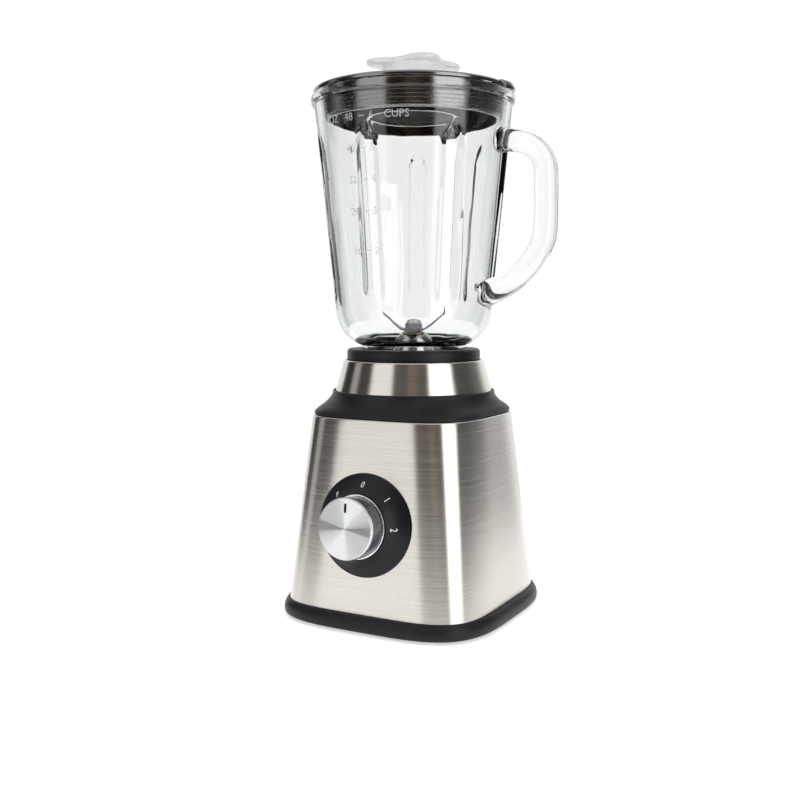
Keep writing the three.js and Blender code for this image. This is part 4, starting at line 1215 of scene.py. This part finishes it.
def handlePath():
    x = handleHigh.x - jug["handleThick"] / 2
    high = rim - jug["handleTop"]
    low = high - 106
    reach = axisX + rimRadius
    root = jug["handleRoot"]
    points = [
        (axisX + jugRadiusAt(high) - root, high + 1.2),
        (reach + 4, high),
        (reach + 17, high - 3.6),
        (x - 5.6, high - 9),
        (x - 1, high - 17),
        (x, high - 27),
        (x, high - 60),
        (x - 3, high - 72),
        (x - 12, high - 85.5),
        (x - 26, high - 97),
        (axisX + jugRadiusAt(low) - root, low),
    ]
    return [Vector((px, axisY, pz)) for px, pz in smoothed(points, 9)]


def glassJug():
    # the wall is turned, pressed into flutes and a spout by the recipe, and joined to the handle
    wall = jug["wall"]
    steps = 96
    rise = rim - bowlMiddle
    side = [bowlMiddle + rise * i / steps for i in range(1, steps - 3)]
    outer = [(jug["neckRadius"] - 0.6, jugLow.z), (jug["neckRadius"], jugLow.z + 0.8)]
    outer += bowlArc(jug["bowlCorner"], jug["neckRadius"], 22)
    outer += [(jugRadiusAt(z), z) for z in side if z < rim - jug["beadHeight"]]
    outer += smoothed(
        [
            (jugRadiusAt(rim - 7), rim - 7),
            (rimRadius + 0.75, rim - 5.3),
            (rimRadius + jug["bead"], rim - 3.2),
            (rimRadius + 0.8, rim - 0.9),
            (rimRadius - 0.5, rim - 0.1),
        ],
        4,
    )
    neckBore = jug["neckRadius"] - wall
    inner = [(rimRadius - wall + 1.2, rim), (rimRadius - wall + 0.2, rim - 0.7)]
    inner += [(jugRadiusAt(z) - wall, z) for z in reversed(side) if z < rim - 1.5]
    inner += reversed(bowlArc(jug["bowlCorner"] - wall, neckBore, 22))
    inner += [(neckBore, jugLow.z + 0.8), (neckBore + 0.6, jugLow.z)]
    mesh = turnedMesh("jug_wall", outer + inner, 256)
    # the flutes go into the outside of the wall, and hardly into the inside
    share = mesh.attributes.new("pressShare", "FLOAT", "POINT")
    for v, value in zip(mesh.vertices, share.data):
        reach = math.hypot(v.co.x / mm - axisX, v.co.y / mm - axisY)
        height = v.co.z / mm
        limit = jugRadiusAt(height) - wall / 2 if height > bowlMiddle else 0
        value.value = 1.0 if reach > limit else jug["innerShare"]
    values = {
        "Spacing": 2 * math.pi / jug["flutes"],
        "Phase": math.radians(jug["fluteTurn"]),
        "Depth": jug["fluteDepth"] * mm,
        "Half Width": jug["fluteHalfWidth"] * mm,
        "Flute Top": (rim - jug["fluteTop"]) * mm,
        "Flute Foot": (bowlMiddle - 2) * mm,
        "Arch Length": jug["archLength"] * mm,
        "Axis X": axisX * mm,
        "Axis Y": axisY * mm,
        "Rim": rim * mm,
        "Spout Reach": jug["spoutReach"] * mm,
        "Spout Spread": jug["spoutSpread"],
        "Spout Drop": jug["spoutDrop"] * mm,
        "Finish": clearGlass,
    }
    wallMesh = fluted.apply("jug_wall", mesh, values)
    path = handlePath()
    count = len(path)

    def section(i):
        root = max(0.0, 1 - min(i, count - 1 - i) / 14)  # thicker where it joins the wall
        swell = 1 + 0.3 * root * root
        thick, wide = jug["handleThick"] / 2 * swell, jug["handleWide"] / 2 * swell
        outline = []
        for k in range(40):
            angle = 2 * math.pi * k / 40
            scale = squareRadius(1.0, jug["handlePower"], angle)
            outline.append((wide * math.cos(angle) * scale, thick * math.sin(angle) * scale))
        return outline

    handle = sweptMesh("handle", path, section)
    piece = carved("pressed_glass_jug", wallMesh, [handle], "UNION", clearGlass, 30)
    settle(piece, "jug", "jug_glass", "glass_jug", "jug_handle")


def jugCollar():
    low, top = collarLow.z, collarHigh.z
    flange = halfWide("jug_collar")
    skirt, under = flange - 2.6, seatHigh.z + 0.3
    bore, shelf = jug["neckRadius"] + 0.6, gasketLow.z - 6.1
    lip = jug["neckRadius"] - jug["wall"] - 7
    profile = rounded(
        [
            (skirt - 4, low), (skirt, low), (skirt, under), (flange, under), (flange, top),
            (bore, top), (bore, shelf + 3), (lip, shelf + 3), (lip, shelf), (skirt - 4, shelf),
        ],
        [0.6, 0.8, 0, 0.5, 2.6, 0.9, 0, 0.4, 0.4, 0],
        5,
    )
    mesh = turnedMesh("jug_collar_smooth", profile, 192)
    slots = lugTools(skirt, 2.4, 3.1, low - 2, seatHigh.z - 6)
    piece = carved("jug_collar_smooth", mesh, slots, material=satinBlack)
    settle(piece, "jug", "black_plastic", "jug_collar")


marks = {
    "column": -2.3,  # degrees round from the dial's side
    "figureHeight": 5.0,
    "depth": 0.35,
    "dash": (2.4, 0.3, 0.17),
    "besides": (-8.4, 6.4),  # degrees from the column to the figures on either side
    "units": 21.0,
    "heights": (350.0, 329.5, 309.0, 288.0, 262.0),
}


def graduationMarks():
    made = []

    def wrap(mesh, degrees, height):
        for v in mesh.vertices:
            level = height + v.co.y / mm
            reach = jugRadiusAt(level) + 0.1
            angle = math.radians(degrees) + v.co.x / mm / reach - math.pi / 2
            out = reach + v.co.z / mm
            v.co = Vector((axisX + out * math.cos(angle), axisY + out * math.sin(angle), level)) * mm
        made.append(mesh)

    def words(text, degrees, height):
        mesh = textMesh("mark", text, marks["figureHeight"], marks["depth"])
        wrap(mesh, marks["column"] + degrees, height)

    left, right = marks["besides"]
    for cups, height in zip(range(6, 1, -1), marks["heights"]):
        words(str(8 * cups), left, height)
        words(str(cups), right, height)
        wrap(blockMesh("dash", [-d for d in marks["dash"]], marks["dash"]), marks["column"], height)
    words("OZ", -marks["units"], marks["heights"][0])
    words("CUPS", marks["units"], marks["heights"][0])
    settle(joinMeshes("graduation_marks", made, markGlass()), "jug", "jug_glass")


def markGlass():
    raised = Finish("raisedMarkGlass", alpha=0.45)
    speck = raised.noise(900.0)
    raised.feed(
        baseColor=raised.between(speck, (0.72, 0.76, 0.77), (0.85, 0.88, 0.89)),
        roughness=0.25 + speck * 0.2,
    )
    return raised.material


glassJug()
jugCollar()
graduationMarks()
print("jug made")

blades = {
    "thickness": 1.5,
    "halfWidth": 6.0,
    "bevel": 1.6,  # width of the ground side
    "bore": 3.6,
    "stations": 28,
    # the flat middle's half length, the lift of the tips, and the turn in radians
    "lower": (8.0, 1.2, 1.9),
    "upper": (8.5, 13.0, 0.35),
}


def bladeHousing():
    low, high = span("blade_housing")
    wide = halfWide("blade_housing")
    bore = 6.6
    hollow = low.z + 4.7
    profile = rounded(
        [
            (bore, hollow), (bore, high.z), (bore + 3.6, high.z), (bore + 6.6, high.z - 4.5),
            (bore + 12, low.z + 12), (bore + 17, low.z + 4), (wide - 0.4, low.z + 2.5),
            (wide, low.z + 2.5), (wide, low.z), (bore + 14, low.z), (bore + 9.5, hollow),
        ],
        [0.3, 0.5, 0.8, 3, 4, 3, 0, 0.4, 0.4, 0.5, 0.8],
    )
    mesh = turnedMesh("blade_housing_smooth", profile, 96)
    housing = addObject("blade_housing_smooth", mesh, shaftSteel)
    settle(housing, "jug", "black_plastic", "blade_housing")


def bladeStrip(node, name, flat, rise, turn):
    low, high = span(node)
    reach = max(high.x - axisX, high.y - axisY, axisX - low.x, axisY - low.y)
    width, bevel = blades["halfWidth"], blades["bevel"]
    thickness = blades["thickness"]
    work = bmesh.new()
    spin = Matrix.Rotation(turn, 4, "Z")
    centre = Vector((axisX, axisY, 0))
    rings = []
    for i in range(blades["stations"] + 1):
        s = -1 + 2 * i / blades["stations"]
        x = s * reach
        out = max(0.0, (abs(x) - flat) / (reach - flat))
        lead = width * (1 - 0.45 * out - 0.35 * out ** 3)
        trail = width * (1 - 0.95 * out)
        if s < 0:
            lead, trail = trail, lead
        lift = rise * out ** 1.05
        under, top = low.z + lift, low.z + thickness + lift
        middle = (top + under) / 2
        share = 0.18 + 0.82 * (1 - min(1.0, out * 3))  # ground thin along the leading side
        edge = thickness / 2 * share
        ring = [
            (x, lead, middle - edge), (x, lead, middle + edge), (x, lead - bevel, top),
            (x, -trail + 0.4, top), (x, -trail, middle), (x, -trail + 0.4, under),
            (x, lead - bevel, under),
        ]
        rings.append([work.verts.new((spin @ Vector(p) + centre) * mm) for p in ring])
    capped(work, rings)
    bore = turnedMesh("bore", rod(blades["bore"], low.z - 3, low.z + 6), 32)
    piece = carved(name, meshFrom(name, work, 25), [bore], material=bladeSteel, sharp=25)
    settle(piece, "blades", "blade_steel", node)


nut = {"radius": 6.2, "flatHeight": 3.6, "acrossFlats": 5.4, "bore": 3.7, "domeTop": 2.0}


def bladeNut():
    low, high = span("blade_nut")
    flatTop = low.z + nut["flatHeight"]
    profile = [(0, low.z), (nut["radius"], low.z), (nut["radius"], flatTop), (5.6, flatTop + 0.8)]
    profile += [(4.9, high.z - 1.2), (3.2, high.z - 0.2), (0, high.z)]
    mesh = turnedMesh("blade_nut_smooth", profile, 48)
    tools = []
    for n in range(6):
        block = blockMesh("flat", (nut["acrossFlats"], -8, low.z - 1), (9, 8, flatTop + 0.1))
        tools.append(placed(block, aboutAxis(n * math.pi / 3)))
    tools.append(turnedMesh("bore", rod(nut["bore"], low.z - 1, high.z - nut["domeTop"]), 32))
    piece = carved("blade_nut_smooth", mesh, tools, material=shaftSteel, sharp=25)
    settle(piece, "blades", "fastener_steel", "blade_nut")


bladeHousing()
for level in ("lower", "upper"):
    bladeStrip(f"{level}_blades", f"{level}_blades_ground", *blades[level])
bladeNut()
print("blades made")

lid = {
    "hole": 31.0,
    "wall": 2.2,
    "capFlange": 14.7,
    "rise": 3.8,
    "crown": 1.4,
    "clear": 3.2,  # between the skirt and the glass
    "sleeve": 16.0,
    "tabHalf": 8.0,
    "tabRounding": 2.6,
}
lidUnder = rim + 0.3
lidTop = lidUnder + lid["rise"]


def skirtRadiusAt(height):
    return jugRadiusAt(height) - jug["wall"] - lid["clear"]


def lidBody():
    flange = rimRadius + 0.6
    foot = span("lid")[0].z
    edge = lid["hole"] + lid["capFlange"]
    hole, wall, crown = lid["hole"], lid["wall"], lidTop + lid["crown"]
    sleeveFoot = lidUnder - lid["sleeve"]
    points = [  # half width, height and the rounding of each corner
        (hole, crown, 0.5),
        (edge + 0.6, crown, 0.8),
        ((edge + flange) / 2, lidTop + 0.8, 6),
        (flange - 1.2, lidTop - 0.6, 1.2),
        (flange, lidTop - 2.1, 0.9),
        (flange - 0.4, lidUnder, 0.4),
        (skirtRadiusAt(lidUnder) + 0.6, lidUnder, 0.4),
        (skirtRadiusAt(lidUnder) - 0.3, lidUnder - 1, 0.3),
        (skirtRadiusAt(foot + 2) - 0.3, foot + 2, 1.2),
        (skirtRadiusAt(foot) - 1.2, foot, 0.5),
        (skirtRadiusAt(foot) - wall - 0.3, foot, 0.5),
        (skirtRadiusAt(lidUnder) - wall - 0.3, lidTop - wall - 1, 2),
        (hole + wall, crown - wall, 1),
        (hole + wall, sleeveFoot, 0.5),
        (hole, sleeveFoot, 0.5),
    ]
    profile = rounded([p[:2] for p in points], [p[2] for p in points], 4)
    body = turnedMesh("lid_body", profile, 256)
    tab = smoothed(
        [
            (flange - 4, lidUnder + 0.2), (flange + 2.6, lidUnder), (flange + 4.4, lidUnder - 2.8),
            (flange + 5.4, lidUnder - 2.2), (flange + 4.9, lidUnder - 0.1),
            (flange + 2.4, lidTop - 0.7), (flange - 4, lidTop - 0.4),
        ],
        4,
    )
    work = bmesh.new()
    rings = []
    for i in range(13):
        s = -1 + i / 6
        pull = lid["tabRounding"] * s * s  # the tab's end is rounded in plan
        ring = []
        for r, z in tab:
            reach = r - pull * max(0.0, (r - flange + 4) / 10)
            ring.append(work.verts.new(Vector((axisX + reach, axisY + s * lid["tabHalf"], z)) * mm))
        rings.append(ring)
    capped(work, rings)
    piece = carved("lid_smooth", body, [meshFrom("tab", work)], "UNION", glossBlack, 35)
    settle(piece, "lid", "black_plastic", "lid")


seal = {"hoops": 5, "thickness": 0.32, "stand": 1.5, "ends": 1.5}


def lidSealRibs():
    low, high = span("lid_seal")
    inner, outer = 0.05, 1.0  # from the lid's skirt
    sleeve = [(skirtRadiusAt(low.z) + inner, low.z), (skirtRadiusAt(low.z) + outer, low.z)]
    sleeve += [(skirtRadiusAt(high.z) + outer, high.z), (skirtRadiusAt(high.z) + inner, high.z)]
    first = low.z + seal["ends"]
    pitch = (high.z - low.z - 2 * seal["ends"]) / (seal["hoops"] - 1)
    values = {
        "Hoops": seal["hoops"],
        "Foot": first * mm,
        "Pitch": pitch * mm,
        "Foot Radius": (skirtRadiusAt(first) + seal["stand"]) * mm,
        "Growth": (skirtRadiusAt(first + pitch) - skirtRadiusAt(first)) * mm,
        "Thickness": seal["thickness"] * mm,
        "Axis": (axisX * mm, axisY * mm, 0),
        "Finish": sealBlack,
    }
    mesh = hooped.apply("ribbed_seal", turnedMesh("sleeve", sleeve, 192), values)
    settle(addObject("ribbed_seal", mesh, sealBlack), "lid", "black_rubber", "lid_seal")


cap = {"waist": 24.0, "wall": 2.2, "gripReach": 34.5, "gripHeight": 3.4, "lobes": 4, "sides": 192}


def measuringCap():
    low, high = [corner.z for corner in span("measuring_cap")]
    outer, edge = lid["hole"] - 0.6, lid["hole"] + lid["capFlange"]
    waist, wall, sides = cap["waist"], cap["wall"], cap["sides"]
    flangeLow = lidTop + 1.7
    gripLow = high - cap["gripHeight"]
    points = [
        (0, gripLow + 0.5, 0), (waist - 1, gripLow + 0.5, 0), (waist - 1.4, flangeLow + 7.5, 2),
        (waist + 4, flangeLow + 5.4, 4), (edge - 1.6, flangeLow + 3.9, 2), (edge, flangeLow + 2.9, 0.7),
        (edge, flangeLow, 0.5), (outer, flangeLow, 0.3), (outer - 0.4, low, 0.6),
        (outer - 0.4 - wall, low, 0.6), (outer - wall, flangeLow + 1, 2),
        (waist - 4, flangeLow + 4, 3), (0, flangeLow + 4.6, 0),
    ]
    profile = rounded([p[:2] for p in points], [p[2] for p in points], 4, False)
    body = turnedMesh("cap_body", profile, sides)
    work = bmesh.new()
    rows = [(1.2, gripLow), (0.35, gripLow + 0.25), (0, gripLow + 1)]
    rows += [(0, high - 0.9), (0.35, high - 0.25), (1.2, high)]
    rings = []
    for inset, z in rows:
        ring = []
        for i in range(sides):
            angle = 2 * math.pi * i / sides
            swing = 0.5 + 0.5 * math.cos(cap["lobes"] * (angle - math.pi / 4))
            r = waist + (cap["gripReach"] - waist) * swing ** 1.15 - inset
            spot = (axisX + r * math.cos(angle), axisY + r * math.sin(angle), z)
            ring.append(work.verts.new(Vector(spot) * mm))
        rings.append(ring)
    skin(work, rings)
    for ring, z in ((rings[0], gripLow), (rings[-1], high)):
        hub = work.verts.new(Vector((axisX, axisY, z)) * mm)
        for i in range(sides):
            work.faces.new((ring[i], ring[(i + 1) % sides], hub))
    bmesh.ops.recalc_face_normals(work, faces=work.faces)
    piece = carved("clear_measuring_cap", body, [meshFrom("grip", work)], "UNION", clearPlastic, 35)
    settle(piece, "cap", "clear_plastic", "measuring_cap")


lidBody()
lidSealRibs()
measuringCap()
print("lid and cap made")

# finishes on the pieces that keep their own shape
mounts = " ".join(f"motor_mount_{i}" for i in range(1, 5))
keptFinishes = [
    (satinBlack, "bottom_cover drive_coupling driven_coupling"),
    (ivoryPlastic, "rotary_switch cooling_fan"),
    (zincSteel, "switch_spindle motor_bolt_1 motor_bolt_2"),
    (ironSheets, "stator_core armature_core"),
    (copperWire, "field_coil_right field_coil_left armature_winding_top"),
    (copperWire, "armature_winding_bottom commutator"),
    (castAluminium, "motor_top_bracket motor_bottom_bracket"),
    (shaftSteel, "upper_bearing lower_bearing motor_shaft blade_shaft"),
    (bronze, "brush_holder_rear brush_holder_front blade_bushing"),
    (carbonBlock, "carbon_brush_rear carbon_brush_front"),
    (rubberBlack, "jug_gasket " + mounts),
]
for material, nodes in keptFinishes:
    for node in nodes.split():
        kept = frame["nodes"][node].data
        kept.materials.clear()
        kept.materials.append(material)

studio = {
    "white": 1.05,
    "floorRadius": 0.5,
    "floorGlow": 0.6,
    "ceiling": 0.85,
    "dimSides": (0.78, 0.97),
    "dimLevel": 0.12,
    "ceilingFrom": 0.5,
    "ceilingTo": 0.8,
    "softbox": 6.0,
    # light round the object, in degrees from the camera, to the right when positive
    "bands": [
        (-180, (1.0, 1.0, 1.0)), (-136, (0.9, 0.9, 0.9)), (-132, (0.03, 0.03, 0.03)),
        (-111, (0.03, 0.03, 0.03)), (-107, (0.45, 0.44, 0.42)), (-97, (0.45, 0.44, 0.42)),
        (-93, (0.03, 0.03, 0.028)), (-72, (0.05, 0.048, 0.043)), (-68, (1.1, 1.09, 1.07)),
        (-36, (1.08, 1.07, 1.04)), (-31, (0.06, 0.045, 0.03)), (-12, (0.035, 0.022, 0.013)),
        (-6, (0.15, 0.1, 0.06)), (3, (0.12, 0.08, 0.05)), (12, (0.03, 0.02, 0.013)),
        (22, (0.05, 0.035, 0.025)), (27, (2.3, 2.28, 2.25)), (60, (2.3, 2.28, 2.25)),
        (66, (0.05, 0.05, 0.048)), (96, (0.08, 0.08, 0.076)), (120, (0.22, 0.218, 0.205)),
        (140, (1.0, 1.0, 1.0)), (180, (1.0, 1.0, 1.0)),
    ],
}


def studioSky():
    world = bpy.data.worlds.new("softStudio")
    bpy.context.scene.world = world
    world.use_nodes = True
    sky = Graph(world.node_tree)
    sky.tree.nodes.clear()
    direction = sky.node("ShaderNodeTexCoord", output="Generated")
    x, y, z = sky.parts(direction)
    turn = sky.maths("ARCTAN2", x, y * -1) - cameraTurn
    share = ((turn / (2 * math.pi)) + 0.5).maths("FRACT")
    stops = [((degrees + 180) / 360, colour) for degrees, colour in studio["bands"]]
    bands = sky.node("ShaderNodeValToRGB", {"stops": stops}, {"Fac": share})
    up = sky.smooth(z, studio["ceilingFrom"], studio["ceilingTo"])
    room = sky.between(up, bands, [studio["ceiling"]] * 3)
    # what the glass looks through to: white before and behind, dim at the sides
    sideways = sky.smooth(turn.maths("SINE").maths("ABSOLUTE"), *studio["dimSides"])
    beyond = sky.between(sideways, (1, 1, 1), [studio["dimLevel"]] * 3)
    mirrored = sky.node("ShaderNodeLightPath", output="Glossy Depth").maths("MINIMUM", 1.0)
    through = sky.node("ShaderNodeLightPath", output="Is Transmission Ray") * (1 - mirrored)
    seen = sky.node("ShaderNodeLightPath", output="Is Camera Ray")
    shown = sky.between(seen, sky.between(through, room, beyond), [studio["white"]] * 3)
    glow = sky.node("ShaderNodeBackground", {}, {"Color": shown})
    out = sky.tree.nodes.new("ShaderNodeOutputWorld")
    sky.tree.links.new(glow.socket, out.inputs[0])


def paleFloor():
    work = bmesh.new()
    bmesh.ops.create_circle(work, cap_ends=True, segments=96, radius=studio["floorRadius"])
    mesh = bpy.data.meshes.new("pale_floor")
    work.to_mesh(mesh)
    work.free()
    floor = Finish("paleFloor", roughness=0.85, emissionStrength=studio["floorGlow"])
    tone = floor.noise(3.0)
    paint = floor.between(tone, (0.93, 0.93, 0.93), (0.95, 0.95, 0.95))
    floor.feed(baseColor=paint, emissionColor=paint)
    addObject("pale_floor", mesh, floor.material)


def softLight(name, energy, size, place, aim):
    data = bpy.data.lights.new(name, "AREA")
    data.energy = energy
    data.size = size
    lamp = bpy.data.objects.new(name, data)
    bpy.context.scene.collection.objects.link(lamp)
    lamp.location = place
    lamp.rotation_euler = (Vector(aim) - Vector(place)).to_track_quat("-Z", "Y").to_euler()
    lamp.visible_glossy = False
    lamp.visible_transmission = False


studioSky()
paleFloor()
softLight("overheadSoftbox", studio["softbox"], 1.6, (0.2, -0.2, 1.9), (0, 0, 0.1))
bpy.context.scene.view_settings.view_transform = "Standard"
print("studio made")
